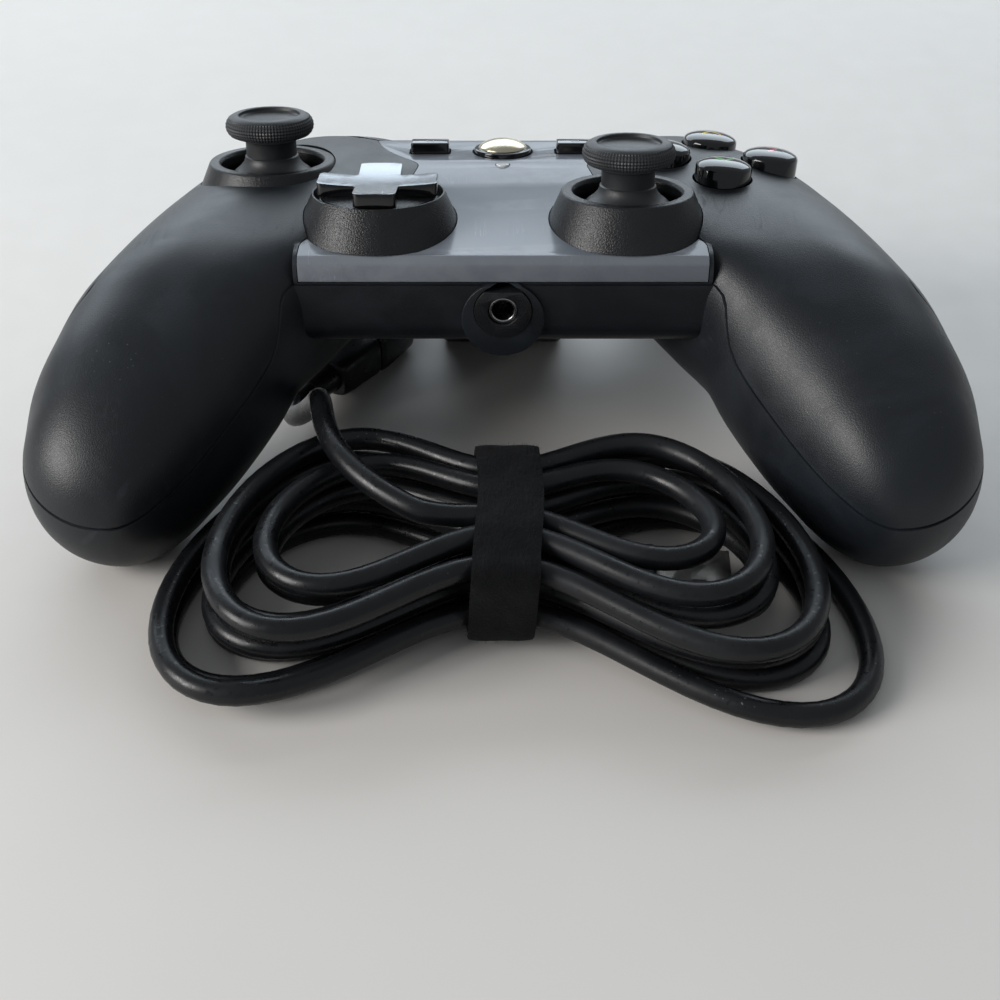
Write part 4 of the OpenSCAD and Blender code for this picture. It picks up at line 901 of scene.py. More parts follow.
optionLeft, optionRight = makeOption("optionLeft", -1), makeOption("optionRight", 1)
markLeft, markRight = makeOptionMark("markLeft", -1), makeOptionMark("markRight", 1)
homeR = rowSet["home"] / 2
homeAt = onFace(0, rowSet["v"])
homeFlange = [(0, -4.6), (homeR + 0.8, -4.6), (homeR + 0.8, -3.6), (homeR, -3.6)]
homeSide = [(homeR, -3.6), (homeR, 0.2), (homeR - 0.75, 0.2), (homeR - 0.85, 0.32)]
homeDome = [(0, 0.1), (homeR - 0.86, 0.1), (homeR - 0.86, 0.3), (homeR - 0.95, 0.5), (homeR * 0.72, 0.92),
            (homeR * 0.58, 1.26), (homeR * 0.42, 1.52), (homeR * 0.22, 1.73), (0, 1.8)]
homeRing = lathe("homeRing", homeFlange + rounded(homeSide, 0.3, 4, False)[1:]
                 + [(homeR * 0.7, 0.32), (0, 0.32)], 96, homeAt)
homeCap = lathe("homeCap", homeDome, 96, homeAt)

# headset jack and its trim
jackAt = move(0, frontY, jackSet["z"]) @ alongY
jackR = jackSet["bore"] / 2
trimSet = dict(proud=1, deep=3.6, top=3.6, hole=0.7, edge=0.28)


def makeTrim():
    s = trimSet
    at = jackAt @ move(0, 0, -s["proud"])
    piece = rod("jackTrim", jackSet["trim"] / 2, 0, s["deep"], at, 96)
    combine(piece, block("flat", (-10, -20, -30), (10, 20, jackSet["z"] + s["top"])), "INTERSECT")
    combine(piece, rod("hole", jackR + s["hole"], -5, 20, at, 64))
    return softEdges(piece, s["edge"])


jackTrim = makeTrim()
sleeve = rounded([(jackR, -0.5), (jackR + 0.65, -0.5), (jackR + 0.65, 3.2), (jackR + 1.2, 3.2),
                  (jackR + 1.2, 12.5), (0, 12.5), (0, 12), (jackR, 12)], [0.2, 0.25, 0, 0, 0, 0, 0, 0], 3)
jackSleeve = lathe("jackSleeve", sleeve, 64, jackAt, True)

# cord boot with its ribs
bootSet = dict(r=4.2, tip=cordSet["thick"] / 2 + 0.7, long=14, ribs=3, firstRib=2.6, ribStep=3.4)
bootGroove = ((0, 0), (0.12, 0.55), (0.3, 0.7), (1.2, 0.7), (1.38, 0.55), (1.5, 0))


def makeBoot():
    s = bootSet
    r, tip, far = s["r"], s["tip"], s["long"]
    profile = [(0, -8.6), (1.9, -8.6), (1.9, -5), (r + 1.4, -5), (r + 1.4, -2.9), (r, -2.9), (r, 2)]
    for i in range(s["ribs"]):
        for part, depth in bootGroove:
            y = s["firstRib"] + s["ribStep"] * i + part
            profile.append((r + (tip - r) * y / far - depth, y))
    profile += [(tip + 0.05, far - 0.3), (tip - 0.2, far), (0, far)]
    return lathe("cordBoot", profile, 64, move(0, b["backReach"], shellSet["bootZ"]) @ alongY)


bootPiece = makeBoot()


# coupling halves behind the left grip
couplingSwell = ((0, 0.9), (0.04, 0.965), (0.1, 1), (0.5, 1), (0.9, 1), (0.96, 0.97), (1, 0.91))
couplingHalfSet = dict(long=11.9, corner=2.4, plug=(8.6, 7.4, 1.18, 0), socket=(10.4, 8.8, 0.96, 12.1))
plugReliefLine = [(0, -6), (2.1, -6), (2.3, -5.7), (3.15, -0.3), (3.2, 0.3), (0, 0.3)]
socketReliefLine = [(0, 23.7), (3.4, 23.7), (3.35, 24.3), (2.3, 29.7), (2.1, 30), (0, 30)]


def couplingHalf(wide, tall, swell, low):
    s = couplingHalfSet
    outline = rounded(rectangle(wide / 2, tall / 2), s["corner"], 6)
    points = []
    for t, k in couplingSwell:
        g = (1 + (swell - 1) * t) * k
        points += [(x * g, low + s["long"] * t, z * g) for x, z in outline]
    return meshPiece("half", points, ringFaces(len(couplingSwell), len(outline)), couplingAt)


tongue = block("tongue", (-2.8, 11.6, -1.4), (2.8, 17.9, 1.4), couplingAt)
plugRelief = lathe("relief", plugReliefLine, 40, couplingAt @ alongY)
couplingPlug = joined("couplingPlug", [couplingHalf(*couplingHalfSet["plug"]), plugRelief, tongue])
socketRelief = lathe("relief", socketReliefLine, 40, couplingAt @ alongY)
socketHalf = couplingHalf(*couplingHalfSet["socket"])
combine(socketHalf, block("cut", (-2.95, 11, -1.55), (2.95, 19, 1.55), couplingAt))
couplingSocket = joined("couplingSocket", [socketHalf, socketRelief])

# plug on the far end
alongPlug = plugAt @ spun(90, "Y") @ spun(90, "Z")


def makePlugBody():
    p = plugSet
    wide, tall = p["body"][1] / 2, p["body"][2] / 2
    outline = rounded(rectangle(wide, tall), p["corner"], 6)
    low = p["relief"]
    piece = prism("plugBody", outline, low, low + p["body"][0], False, alongPlug)
    softEdges(piece, p["edge"], 4)
    low += p["grooveAt"]
    groove = prism("groove", inward(outline, -1), low, low + p["grooveWide"], False, alongPlug)
    combine(groove, prism("core", inward(outline, p["grooveDeep"]), 0, 20, False, alongPlug))
    combine(piece, groove)
    reliefLine = [(0, 0), (2.1, 0), (2.3, 0.25), (3.25, 3.4), (3.3, 3.9), (0, 3.9)]
    relief = lathe("relief", reliefLine, 40, alongPlug)
    return joined("plugBody", [piece, relief])


def makePlugShell():
    p = plugSet
    wide, tall = p["shell"][1] / 2, p["shell"][2] / 2
    low = p["relief"] + p["body"][0]
    outline = rounded(rectangle(wide, tall), p["shellCorner"], 3)
    piece = prism("plugShell", outline, low, low + p["shell"][0], False, alongPlug)
    combine(piece, prism("bore", inward(outline, p["shellWall"]), low + 1, low + 20, False, alongPlug))
    side, start, end = p["window"]
    for x in (-p["windowX"], p["windowX"]):
        combine(piece, block("window", (x - side, -10, low + start), (x + side, 10, low + end), alongPlug))
    return softEdges(piece, 0.1, 2)


def makePlugTongue():
    p = plugSet
    low = p["relief"] + p["body"][0] + 1
    wide = p["shell"][1] / 2 - p["shellWall"] - 0.05
    under, top = p["tongue"]
    return block("plugTongue", (-wide, under, low), (wide, top, low + p["shell"][0] - 2), alongPlug)


plugBody, plugShell, plugTongue = makePlugBody(), makePlugShell(), makePlugTongue()
print("small pieces made")

# felt strap: one and a quarter turns round the hank's waist
strapSet = dict(wide=10, thick=1.0, gap=0.12, lean=0.1, startHigh=0.62, endHigh=0.13, corner=2.2, along=150,
                across=12, sway=0.25, swayRate=0.21, curl=0.25, ripple=0.07, rippleRates=(0.9, 0.5, 0.33),
               overlap=(7, 6), nearPast=2.2, stops=400)
fuzzSet = dict(hairs=2600, seed=7, low=0.9, ruffle=0.9, wide=0.022, shortest=0.25, longest=0.8, bend=4)


def hullOf(points):
    ordered = sorted(set(points))

    def halfHull(items):
        made = []
        for p in items:
            while len(made) > 1 and ((made[-1][0] - made[-2][0]) * (p[1] - made[-2][1])
                                     - (made[-1][1] - made[-2][1]) * (p[0] - made[-2][0])) <= 0:
                made.pop()
            made.append(p)
        return made[:-1]

    return halfHull(ordered) + halfHull(ordered[::-1])


def strapLine():
    s = strapSet
    reach = cordSet["thick"] / 2 + s["gap"] + s["thick"] / 2
    near = [p for p in mainLine if abs(p.x) < s["wide"] / 2 + s["nearPast"]]
    ring = hullOf([(round(y, 4), round(z, 4)) for p in near for y, z in disc(reach, 24, (p.y, p.z))])
    low, high = min(p[1] for p in ring), max(p[1] for p in ring)
    front = min(range(len(ring)), key=lambda i: ring[i][0] + 0.02 * abs(ring[i][1] - (low + high) / 2))
    ring = [Vector(p) for p in ring[front:] + ring[:front]]
    # walk the loop evenly, starting part way up the front and going down first
    lengths = [(ring[(i + 1) % len(ring)] - ring[i]).length for i in range(len(ring))]
    total = sum(lengths)

    def at(d):
        d %= total
        for i, n in enumerate(lengths):
            if d <= n:
                return ring[i].lerp(ring[(i + 1) % len(ring)], d / max(n, 1e-9))
            d -= n
        return ring[0]

    return at, total, low, high


strapAt, strapTotal, strapLow, strapHigh = strapLine()
steps = [strapTotal * k / strapSet["stops"] for k in range(strapSet["stops"])]
frontSteps = [d for d in steps if strapAt(d).x < hankSet["y"]]


def frontPlace(share):
    want = strapLow + (strapHigh - strapLow) * share
    return min(frontSteps, key=lambda d: abs(strapAt(d).y - want))


def makeStrap():
    s = strapSet
    start, end = frontPlace(s["startHigh"]), frontPlace(s["endHigh"])
    over = (end - start) % strapTotal
    length = strapTotal + over
    n, m = s["along"], s["across"]
    gap = s["thick"] + s["gap"]
    fast, slow, beat = s["rippleRates"]
    middle = []
    for i in range(n + 1):
        d = length * i / n
        place = strapAt(start + d)
        ahead = strapAt(start + d + 0.4) - strapAt(start + d - 0.4)
        out = Vector((ahead.y, -ahead.x)).normalized()
        rise, ramp = s["overlap"]
        step = gap * ease((d - strapTotal + rise) / ramp)
        middle.append((place + out * step, out, d))
    points = []
    for p, out, d in middle:
        r, left = s["corner"], length - d
        trim = r - math.sqrt(max(r ** 2 - (r - left) ** 2, 0)) if left < r else 0  # the rounded end
        lean = s["lean"] * (p.y - (strapLow + strapHigh) / 2) + s["sway"] * math.sin(d * s["swayRate"])
        for k in range(m + 1):
            across = (2 * k / m - 1) * (s["wide"] / 2 - trim)
            edge = s["curl"] * (abs(across) / (s["wide"] / 2)) ** 4
            wave = s["ripple"] * math.sin(across * fast + d * slow) * math.sin(d * beat)
            q = p - out * (edge - wave)
            points.append((across + lean, q.x, q.y))
    row = m + 1
    faces = [(i * row + k, (i + 1) * row + k, (i + 1) * row + k + 1, i * row + k + 1)
             for i in range(n) for k in range(m)]
    piece = openPiece("hankStrap", points, faces)
    thick = piece.modifiers.new("thick", "SOLIDIFY")
    thick.thickness, thick.offset = s["thick"] * mm, 0
    bpy.context.view_layer.update()
    applyAll(piece)
    return piece, length


hankStrap, strapLength = makeStrap()


def makeFuzz():
    s = fuzzSet
    rng = random.Random(s["seed"])
    data = hankStrap.data
    areas = [f.area for f in data.polygons]
    points, faces = [], []
    for f in rng.choices(list(data.polygons), weights=areas, k=s["hairs"]):
        corners = [data.vertices[v].co for v in f.vertices]
        u, w = rng.random(), rng.random()
        root = (corners[0].lerp(corners[1], u)).lerp(corners[3].lerp(corners[2], u), w) / mm
        if root.z < s["low"]:
            continue
        stray = Vector((rng.uniform(-1, 1), rng.uniform(-1, 1), rng.uniform(-1, 1)))
        way = (f.normal + stray * s["ruffle"]).normalized()
        side = way.orthogonal().normalized() * s["wide"]
        tip = root + way * rng.uniform(s["shortest"], s["longest"])
        bend = (root + tip) / 2 + side * rng.uniform(-s["bend"], s["bend"])
        k = len(points)
        points += [root - side, root + side, bend + side * 0.8, bend - side * 0.8, tip]
        faces += [(k, k + 1, k + 2, k + 3), (k + 3, k + 2, k + 4)]
    return openPiece("strapFuzz", points, faces)


strapFuzz = makeFuzz()
print("strap:", round(strapLength, 1), "mm long")


# node helpers: a value is either a socket to link or a constant to set
def feed(tree, socket, value):
    if isinstance(value, bpy.types.NodeSocket):
        tree.links.new(value, socket)
    else:
        socket.default_value = value


def newGroup(name, inputs, outputs):
    tree = bpy.data.node_groups.new(name, "ShaderNodeTree")
    for key, value in inputs.items():
        socket = tree.interface.new_socket(key, in_out="INPUT", socket_type="NodeSocketFloat")
        socket.default_value = value
    for key, kind in outputs.items():
        tree.interface.new_socket(key, in_out="OUTPUT", socket_type="NodeSocket" + kind)
    return tree


def put(tree, kind, **sets):
    node = tree.nodes.new(kind if kind.startswith("NodeGroup") else "ShaderNode" + kind)
    for key, value in sets.items():
        if hasattr(node, key):
            setattr(node, key, value)
        else:  # i0, i1 and i2 are inputs by number
            feed(tree, node.inputs[int(key[1:]) if key[1:].isdigit() else key], value)
    return node


def calc(tree, how, a, b=0.5, c=0.5):
    return put(tree, "Math", operation=how, i0=a, i1=b, i2=c).outputs[0]


def spread(tree, value, low, high, toLow=0.0, toHigh=1.0):
    node = put(tree, "MapRange", clamp=True)
    sets = {"Value": value, "From Min": low, "From Max": high, "To Min": toLow, "To Max": toHigh}
    for key, v in sets.items():
        feed(tree, node.inputs[key], v)
    return node.outputs["Result"]


def mixed(tree, share, one, two):
    node = put(tree, "Mix", data_type="RGBA")
    for k, v in ((0, share), (6, one), (7, two)):  # the factor and the two colours
        feed(tree, node.inputs[k], (*v, 1) if isinstance(v, tuple) else v)
    return node.outputs[2]


def noise(tree, at, scale, detail=3.0, rough=0.55, twist=0.0):
    node = put(tree, "TexNoise", Vector=at, Scale=scale, Detail=detail, Roughness=rough, Distortion=twist)
    return node.outputs[0]


def grainGroup():
    tree = newGroup("mouldedGrain", dict(Scale=900, Depth=0.00003), dict(Normal="Vector", Speckle="Float"))
    given, out = put(tree, "NodeGroupInput"), put(tree, "NodeGroupOutput")
    at = put(tree, "TexCoord").outputs["Object"]
    size = given.outputs["Scale"]
    cells = put(tree, "TexVoronoi", Vector=at, Scale=size).outputs["Distance"]
    height = calc(tree, "ADD", noise(tree, at, size), calc(tree, "MULTIPLY", cells, 0.6))
    bump = put(tree, "Bump", Strength=1.0, Distance=given.outputs["Depth"], Height=height)
    tree.links.new(bump.outputs[0], out.inputs["Normal"])
    specks = noise(tree, at, calc(tree, "MULTIPLY", size, 1.7), 1.0)
    tree.links.new(spread(tree, specks, 0.58, 0.72), out.inputs["Speckle"])
    return tree


def wearAndGlintGroup():
    marks = ("Smudge", "Dust", "Scratch", "RubAndGlint", "Tone")
    tree = newGroup("handlingAndGlint", {}, {key: "Float" for key in marks})
    out = put(tree, "NodeGroupOutput")
    at = put(tree, "TexCoord").outputs["Object"]
    shape = put(tree, "NewGeometry")
    up = put(tree, "SeparateXYZ", Vector=shape.outputs["Normal"]).outputs[2]
    smudge = spread(tree, noise(tree, at, 46.0, 5.0, 0.6, 1.4), 0.44, 0.64)
    # dust: small spots in patches, on what faces up
    spots = spread(tree, put(tree, "TexVoronoi", Vector=at, Scale=900.0).outputs["Distance"], 0.13, 0.07)
    where = spread(tree, noise(tree, at, 70.0, 2.0), 0.52, 0.66)
    dust = calc(tree, "MULTIPLY", calc(tree, "MULTIPLY", spots, where), spread(tree, up, 0.1, 0.8))
    # scratches: thin lines of a stretched noise, in patches
    lines = put(tree, "Mapping", Vector=at, Rotation=(0.3, 0.5, 0.7), Scale=(1, 0.05, 0.35)).outputs[0]
    hair = calc(tree, "ABSOLUTE", calc(tree, "SUBTRACT", noise(tree, lines, 620.0, 1.0), 0.5))
    where = spread(tree, noise(tree, at, 55.0, 2.0), 0.55, 0.68)
    scratch = calc(tree, "MULTIPLY", spread(tree, hair, 0.012, 0.003), where)
    # rubbed edges: convex edges are lighter by pointiness. This is edge wear and, on the stick caps' dots, a
    # painted highlight
    where = spread(tree, noise(tree, at, 260.0), 0.35, 0.62)
    rubAndGlint = calc(tree, "MULTIPLY", spread(tree, shape.outputs["Pointiness"], 0.515, 0.6), where)
    tone = spread(tree, noise(tree, at, 21.0, 2.0), 0.3, 0.7, 0.84, 1.16)
    for key, value in zip(marks, (smudge, dust, scratch, rubAndGlint, tone)):
        tree.links.new(value, out.inputs[key])
    return tree


groups = dict(grain=grainGroup(), wearAndGlint=wearAndGlintGroup())
# the rub gain and lift lighten rubbed edges: edge wear and, on the stick caps' dots, a painted highlight
wearAndGlintSet = dict(smudge=0.8, rubAndGlintGain=3.2, rubAndGlintLift=0.004, lineGain=2.2, lineLift=0.012, lineRough=0.15,
               speckleRough=-0.14, dust=(0.33, 0.32, 0.31))


def setSockets(skin, values):
    for key, value in values.items():
        skin.inputs[key].default_value = value


def newFinish(name):
    made = bpy.data.materials.new(name)
    made.use_nodes = True
    return made, made.node_tree, made.node_tree.nodes["Principled BSDF"]


def finishOf(name, dark, light, rough, smear=0.1, metal=0.0, coat=0.0, coatRough=0.05, grain=None, sheen=0.0,
             dust=0.5, rubAndGlint=0.4, scratch=0.3, level=0.5, rubAndGlintColour=None):
    made, tree, skin = newFinish(name)
    wearAndGlint = put(tree, "Group", node_tree=groups["wearAndGlint"]).outputs
    w = wearAndGlintSet
    smeared = mixed(tree, calc(tree, "MULTIPLY", wearAndGlint["Smudge"], w["smudge"]), dark, light)
    colour = put(tree, "VectorMath", operation="SCALE", i0=smeared, Scale=wearAndGlint["Tone"]).outputs[0]
    # the rub mark's lighter colour is edge wear and, on the stick caps' dots, a painted highlight
    rubAndGlintTint = rubAndGlintColour or tuple(min(1, w["rubAndGlintGain"] * v + w["rubAndGlintLift"]) for v in light)
    lined = tuple(min(1, w["lineGain"] * v + w["lineLift"]) for v in light)
    for mark, share, over in (("RubAndGlint", rubAndGlint, rubAndGlintTint), ("Scratch", scratch, lined), ("Dust", dust, w["dust"])):
        colour = mixed(tree, calc(tree, "MULTIPLY", wearAndGlint[mark], share), colour, over)
    tree.links.new(colour, skin.inputs["Base Color"])
    shine = calc(tree, "MULTIPLY_ADD", wearAndGlint["Smudge"], smear, rough)
    shine = calc(tree, "MULTIPLY_ADD", wearAndGlint["Scratch"], w["lineRough"], shine)
    if grain:
        group = put(tree, "Group", node_tree=groups["grain"])
        group.inputs["Scale"].default_value, group.inputs["Depth"].default_value = grain
        tree.links.new(group.outputs["Normal"], skin.inputs["Normal"])
        shine = calc(tree, "MULTIPLY_ADD", group.outputs["Speckle"], w["speckleRough"], shine)
    tree.links.new(shine, skin.inputs["Roughness"])
    setSockets(skin, {"Metallic": metal, "Specular IOR Level": level, "Coat Weight": coat,
                      "Coat Roughness": coatRough, "Sheen Weight": sheen})
    return made


def feltFinish(name, dark, light, sheen):
    made, tree, skin = newFinish(name)
    at = put(tree, "TexCoord").outputs["Object"]
    threads = put(tree, "Mapping", Vector=at, Rotation=(0.4, 0.9, 0.2), Scale=(1, 0.3, 1)).outputs[0]
    strands = noise(tree, threads, 2600.0, 4.0, 0.7, 0.6)
    clumps = noise(tree, at, 420.0, 3.0)
    share = spread(tree, calc(tree, "MULTIPLY", strands, clumps), 0.2, 0.42)
    tree.links.new(mixed(tree, share, dark, light), skin.inputs["Base Color"])
    bump = put(tree, "Bump", Strength=1.0, Distance=0.0003, Height=calc(tree, "ADD", strands, clumps))
    tree.links.new(bump.outputs[0], skin.inputs["Normal"])
    setSockets(skin, {"Roughness": 0.95, "Specular IOR Level": 0.2, "Sheen Weight": sheen,
                      "Sheen Roughness": 0.55, "Sheen Tint": (0.6, 0.62, 0.66, 1)})
    return made


floorSet = dict(dark=(0.65, 0.625, 0.594), light=(0.68, 0.652, 0.62), level=0.25, fadeFrom=0.45, fadeTo=1.3,
                half=3000)


def floorFinish():
    made, tree, skin = newFinish("floor")
    at = put(tree, "TexCoord").outputs["Object"]
    share = spread(tree, noise(tree, at, 9.0, 5.0, 0.6), 0.3, 0.7)
    tree.links.new(mixed(tree, share, floorSet["dark"], floorSet["light"]), skin.inputs["Base Color"])
    tree.links.new(spread(tree, noise(tree, at, 120.0), 0.3, 0.7, 0.5, 0.6), skin.inputs["Roughness"])
    skin.inputs["Specular IOR Level"].default_value = floorSet["level"]
    # far from the object the floor fades into the white behind it
    away = put(tree, "VectorMath", operation="LENGTH", i0=at).outputs["Value"]
    seen = put(tree, "LightPath").outputs["Is Camera Ray"]
    fade = calc(tree, "MULTIPLY", spread(tree, away, floorSet["fadeFrom"], floorSet["fadeTo"]), seen)
    white = put(tree, "Emission", Color=(1, 1, 1, 1), Strength=1.0)
    both = put(tree, "MixShader", i0=fade, i1=skin.outputs[0], i2=white.outputs[0])
    tree.links.new(both.outputs[0], tree.nodes["Material Output"].inputs["Surface"])
    return made


# darker and lighter colour, roughness and how much smudges add to it, then what differs from the usual
black, ink = (0.0052, 0.0056, 0.0066), (0.0092, 0.01, 0.0118)
finishSet = dict(
    shell=((0.0055, 0.0072, 0.0098), (0.0095, 0.0124, 0.0165), 0.42, 0.08,
           dict(grain=(4200, 0.000026), dust=0.16, rubAndGlint=0.3, scratch=0.08, level=0.4)),
    panel=((0.15, 0.165, 0.19), (0.168, 0.184, 0.21), 0.16, 0.08,
           dict(coat=0.05, coatRough=0.06, dust=0.3, scratch=0.3, rubAndGlint=0.25, level=0.18,
                rubAndGlintColour=(0.3, 0.31, 0.33))),
    collar=(black, ink, 0.33, 0.08, dict(grain=(4000, 0.00006), dust=0.14, rubAndGlint=0.4, scratch=0.05, level=0.4)),
    # the caps' strong rub share paints highlights on the side dots, as well as wear
    rubber=((0.0085, 0.0093, 0.011), (0.0145, 0.016, 0.019), 0.46, 0.12,
            dict(grain=(2600, 0.00001), sheen=0.05, dust=0.4, rubAndGlint=0.7, scratch=0)),
    chrome=((0.27, 0.29, 0.315), (0.33, 0.35, 0.375), 0.2, 0.08,
            dict(metal=0.9, dust=0.2, scratch=0.4, rubAndGlint=0.3, rubAndGlintColour=(0.6, 0.62, 0.66))),
    gloss=((0.003, 0.0032, 0.0037), (0.0045, 0.0048, 0.0054), 0.08, 0.1,
           dict(coat=0.3, coatRough=0.03, dust=0.25, rubAndGlint=0.2, scratch=0.25, level=0.4)),
    home=((0.52, 0.47, 0.33), (0.66, 0.61, 0.47), 0.2, 0.12,
          dict(metal=0.95, dust=0.3, scratch=0.4, rubAndGlint=0.3, rubAndGlintColour=(0.85, 0.8, 0.68))),
    mark=((0.16, 0.165, 0.17), (0.24, 0.245, 0.25), 0.3, 0.1, dict(dust=0.3)),
    trigger=(black, ink, 0.2, 0.14, dict(dust=0.4, rubAndGlint=0.5, scratch=0.3)),
    jack=((0.33, 0.33, 0.34), (0.45, 0.45, 0.46), 0.24, 0.2,
          dict(metal=1.0, dust=0.2, scratch=0.6, rubAndGlint=0.4, rubAndGlintColour=(0.7, 0.7, 0.7))),
    cordSkin=(black, ink, 0.3, 0.16,
              dict(grain=(700, 0.000012), dust=0.35, rubAndGlint=0.1, scratch=0.12, level=0.33)),
    plugSkin=(black, ink, 0.36, 0.12, dict(grain=(1100, 0.00002), dust=0.4, rubAndGlint=0.5, scratch=0.2)),
    plugMetal=((0.42, 0.41, 0.39), (0.56, 0.55, 0.53), 0.22, 0.2,
               dict(metal=1.0, dust=0.2, scratch=0.6, rubAndGlint=0.3)),
    plugInside=((0.5, 0.5, 0.48), (0.62, 0.62, 0.6), 0.45, 0.1, {}),
    steel=((0.38, 0.38, 0.39), (0.5, 0.5, 0.51), 0.3, 0.15, dict(metal=1.0, scratch=0.6)),
    inner=((0.02, 0.02, 0.021), (0.03, 0.03, 0.032), 0.45, 0.1, dict(grain=(1200, 0.00002))),
    lens=((0.5, 0.52, 0.53), (0.6, 0.62, 0.63), 0.12, 0.1, dict(coat=0.5)),
    board=((0.012, 0.075, 0.03), (0.02, 0.11, 0.045), 0.35, 0.15, dict(grain=(600, 0.00003))),
    mat=((0.2, 0.2, 0.21), (0.27, 0.27, 0.28), 0.6, 0.1, dict(grain=(900, 0.00002))),
    brass=((0.5, 0.36, 0.15), (0.62, 0.46, 0.22), 0.3, 0.15, dict(metal=1.0, scratch=0.5)))
arrowColours = dict(Near=(0.12, 0.55, 0.1), Right=(0.7, 0.05, 0.06), Left=(0.06, 0.2, 0.75),
                    Far=(0.8, 0.55, 0.05))
for way, colour in arrowColours.items():
    finishSet["arrow" + way] = (colour, tuple(1.25 * v for v in colour), 0.08, 0.1,
                                dict(coat=0.6, coatRough=0.03, dust=0.4, rubAndGlint=0))
finishes = {name: finishOf(name, *row[:4], **row[4]) for name, row in finishSet.items()}
finishes["felt"] = feltFinish("felt", (0.0012, 0.0013, 0.0017), (0.004, 0.0044, 0.0056), 0.04)
finishes["fuzz"] = feltFinish("fuzz", (0.0035, 0.0038, 0.0047), (0.012, 0.013, 0.0155), 0.1)
finishes["floor"] = floorFinish()
slotOf = dict(shell="shell_black", panel="panel_grey", collar="collar_black", rubber="cap_rubber",
              chrome="dpad_chrome", gloss="button_gloss", home="home_metal", mark="button_gloss",
              trigger="trigger_black", jack="jack_metal", cordSkin="cord_black", plugSkin="cord_black",
              plugMetal="plug_metal", plugInside="inner_black", felt="strap_felt", fuzz="strap_felt",
              steel="steel", inner="inner_black", lens="light_clear", board="board_green", mat="mat_rubber",
              brass="weight_brass")
slotOf.update({"arrow" + way: "button_gloss" for way in arrowColours})
print("finishes:", len(finishes))


# trim takes its host's body; a dressed piece takes its node's body, and the node is hidden
def trim(piece, finish, host, smooth=35):
    if piece.type == "MESH":
        shade(piece, smooth)
        piece.data.materials.clear()
    piece.data.materials.append(finishes[finish])
    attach(piece, body_of(host)[0])


def dress(piece, finish, node, *more, smooth=35):
    trim(piece, finish, nodes[node], smooth)
    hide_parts(node, *more)


dress(topShell, "shell", "top_shell", smooth=30)
dress(bottomShell, "shell", "bottom_shell", smooth=30)
dress(facePanel, "panel", "face_panel")
dress(leftCollar, "collar", "left_stick_collar")
dress(rightCollar, "collar", "right_stick_collar")
dress(dpadCollar, "collar", "dpad_collar")
dress(leftCap, "rubber", "left_stick_cap", smooth=28)
dress(rightCap, "rubber", "right_stick_cap", smooth=28)
dress(dpadCross, "chrome", "dpad_cross")
for finish in ("gloss", "collar"):
    dpadCross.data.materials.append(finishes[finish])
# the cross is bright on top, glossy at its sides and black below
crossSkin = dict(brightFrom=0.9, facing=0.55, blackBelow=-0.25)
faceUp = onFace(0, 0).to_3x3() @ Vector((0, 0, 1))
for f in dpadCross.data.polygons:
    high = (onFace(*dpadPlace).inverted() @ (f.center / mm)).z
    if high > crossSkin["brightFrom"] and f.normal.dot(faceUp) > crossSkin["facing"]:
        f.material_index = 0
    else:
        f.material_index = 1 if high > crossSkin["blackBelow"] else 2
for way in padTurns:
    dress(buttons[way], "gloss", "button_" + way)
    trim(arrows[way], "arrow" + way.title(), buttons[way])
dress(optionLeft, "gloss", "option_left")
dress(optionRight, "gloss", "option_right")
trim(markLeft, "mark", optionLeft)
trim(markRight, "mark", optionRight)
dress(homeRing, "gloss", "home_button")
trim(homeCap, "home", homeRing)
dress(leftBumper, "trigger", "left_bumper")
dress(rightBumper, "trigger", "right_bumper")
dress(jackTrim, "collar", "jack_trim")
dress(jackSleeve, "jack", "headset_jack")
dress(bootPiece, "cordSkin", "cord_boot")
dress(couplingPlug, "cordSkin", "coupling_plug")
dress(couplingSocket, "cordSkin", "coupling_socket")
dress(plugBody, "plugSkin", "plug_body")
dress(plugShell, "plugMetal", "plug_shell")
trim(plugTongue, "plugInside", plugShell)
dress(hankStrap, "felt", "hank_strap", smooth=60)
trim(strapFuzz, "fuzz", hankStrap, 180)
dress(pigtail, "cordSkin", "cord_pigtail")
dress(mainCord, "cordSkin", "cord_hank", "cord_lead", "cord_tail")

# solids that stay as they are get an edge and a finish
keptSet = {
    ("shell", 0.3): "rear_cover",
    ("trigger", 0.5): "left_trigger right_trigger",
    ("steel", 0.08): "case_screws",
    ("steel", 0.1): "left_stick_frame right_stick_frame tact_switches left_motor right_motor",
    ("steel", 0): "left_stick_post right_stick_post trigger_pins trigger_springs",
    ("inner", 0.1): "left_stick_rocker right_stick_rocker left_stick_arch right_stick_arch left_stick_lift"
                    " right_stick_lift dpad_gimbal dpad_tower",
    ("lens", 0.1): "status_light",
    ("board", 0.1): "stick_sensors",
    ("board", 0): "main_board",
    ("mat", 0.1): "button_mat",
    ("brass", 0.1): "left_weight right_weight"}
keptEdge = dict(weld=0.002, flat=1, angle=40)


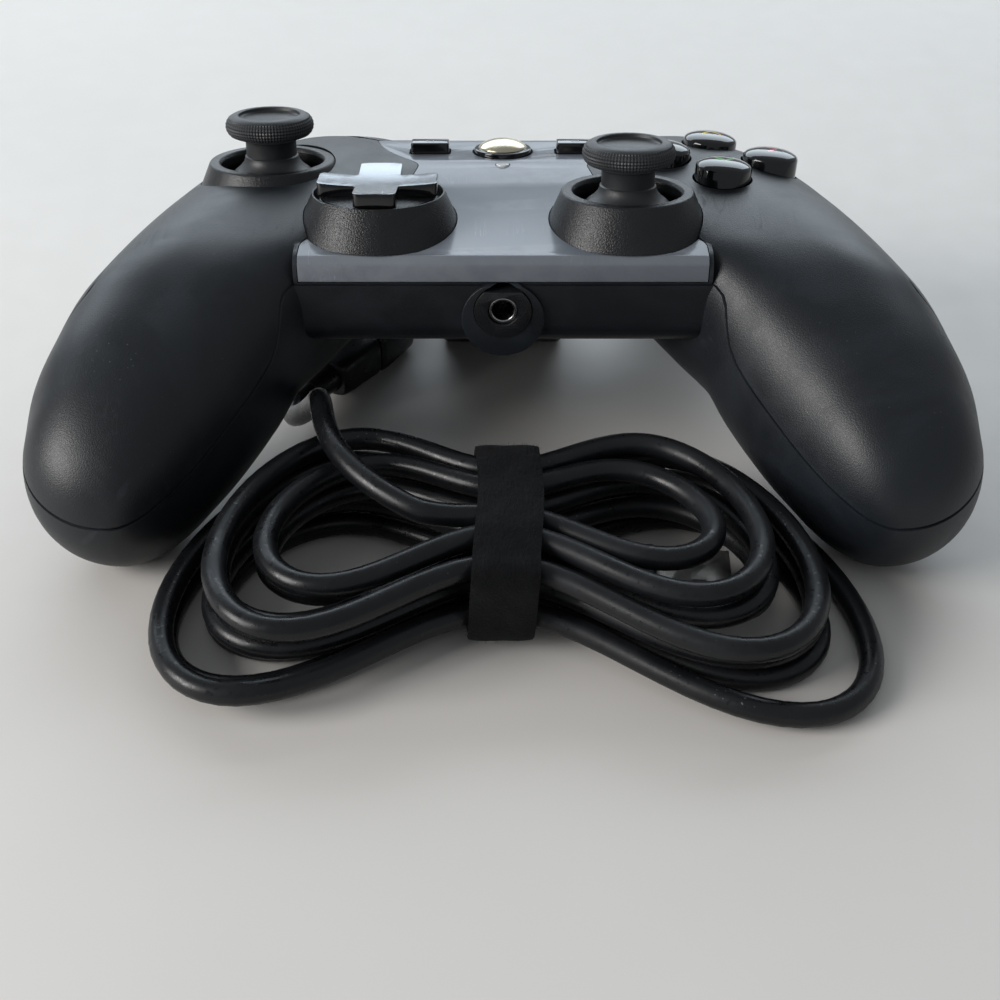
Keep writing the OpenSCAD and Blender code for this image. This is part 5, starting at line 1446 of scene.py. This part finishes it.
def soften(node, width):
    weld = node.modifiers.new("weld", "WELD")
    weld.merge_threshold = keptEdge["weld"] * mm
    flat = node.modifiers.new("flat", "DECIMATE")
    flat.decimate_type, flat.angle_limit = "DISSOLVE", math.radians(keptEdge["flat"])
    soft = node.modifiers.new("soft", "BEVEL")
    soft.width, soft.segments, soft.limit_method = width * mm, 2, "ANGLE"
    soft.angle_limit, soft.harden_normals = math.radians(keptEdge["angle"]), True


for (finish, edge), names in keptSet.items():
    for name in names.split():
        nodes[name].data.materials.clear()
        nodes[name].data.materials.append(finishes[finish])
        if edge:
            soften(nodes[name], edge)

# floor, light and background
floorCorners = [(x, y, 0) for x, y in rectangle(floorSet["half"], floorSet["half"])]
floorPiece = meshPiece("floor", floorCorners, [(0, 1, 2, 3)])
floorPiece.data.materials.append(finishes["floor"])
floorPiece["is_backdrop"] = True


# a wide cool light behind and a smaller one at the left; places in metres, power in watts
lampSet = dict(lampBack=((-0.1, 0.85, 0.5), (0, 0, 0.03), (1.8, 0.65), 10.6, (0.8, 0.91, 1)),
               lampLeft=((-0.78, -0.34, 0.4), (0, -0.03, 0.02), (0.5, 0.45), 8.2, (1, 0.98, 0.96)))
skySet = dict(colour=(0.9, 0.95, 1, 1), strength=0.34, behind=(1, 1, 1, 1))


def lamp(name, place, aim, size, power, tint):
    data = bpy.data.lights.new(name, "AREA")
    data.shape, data.size, data.size_y = "RECTANGLE", size[0], size[1]
    data.energy, data.color = power, tint
    piece = placed(name, data)
    piece.location = place
    piece.rotation_euler = (Vector(aim) - Vector(place)).to_track_quat("-Z", "Y").to_euler()


for name, row in lampSet.items():
    lamp(name, *row)

world = bpy.data.worlds.new("studio")
bpy.context.scene.world = world
world.use_nodes = True
sky = world.node_tree
sky.nodes.clear()
path = put(sky, "LightPath")
seen = calc(sky, "MAXIMUM", path.outputs["Is Camera Ray"], path.outputs["Is Transmission Ray"])
fill = put(sky, "Background", Color=skySet["colour"], Strength=skySet["strength"])
white = put(sky, "Background", Color=skySet["behind"], Strength=1.0)
both = put(sky, "MixShader", i0=seen, i1=fill.outputs[0], i2=white.outputs[0])
put(sky, "OutputWorld", Surface=both.outputs[0])
bpy.context.scene.view_settings.view_transform = "Standard"

low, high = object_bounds()
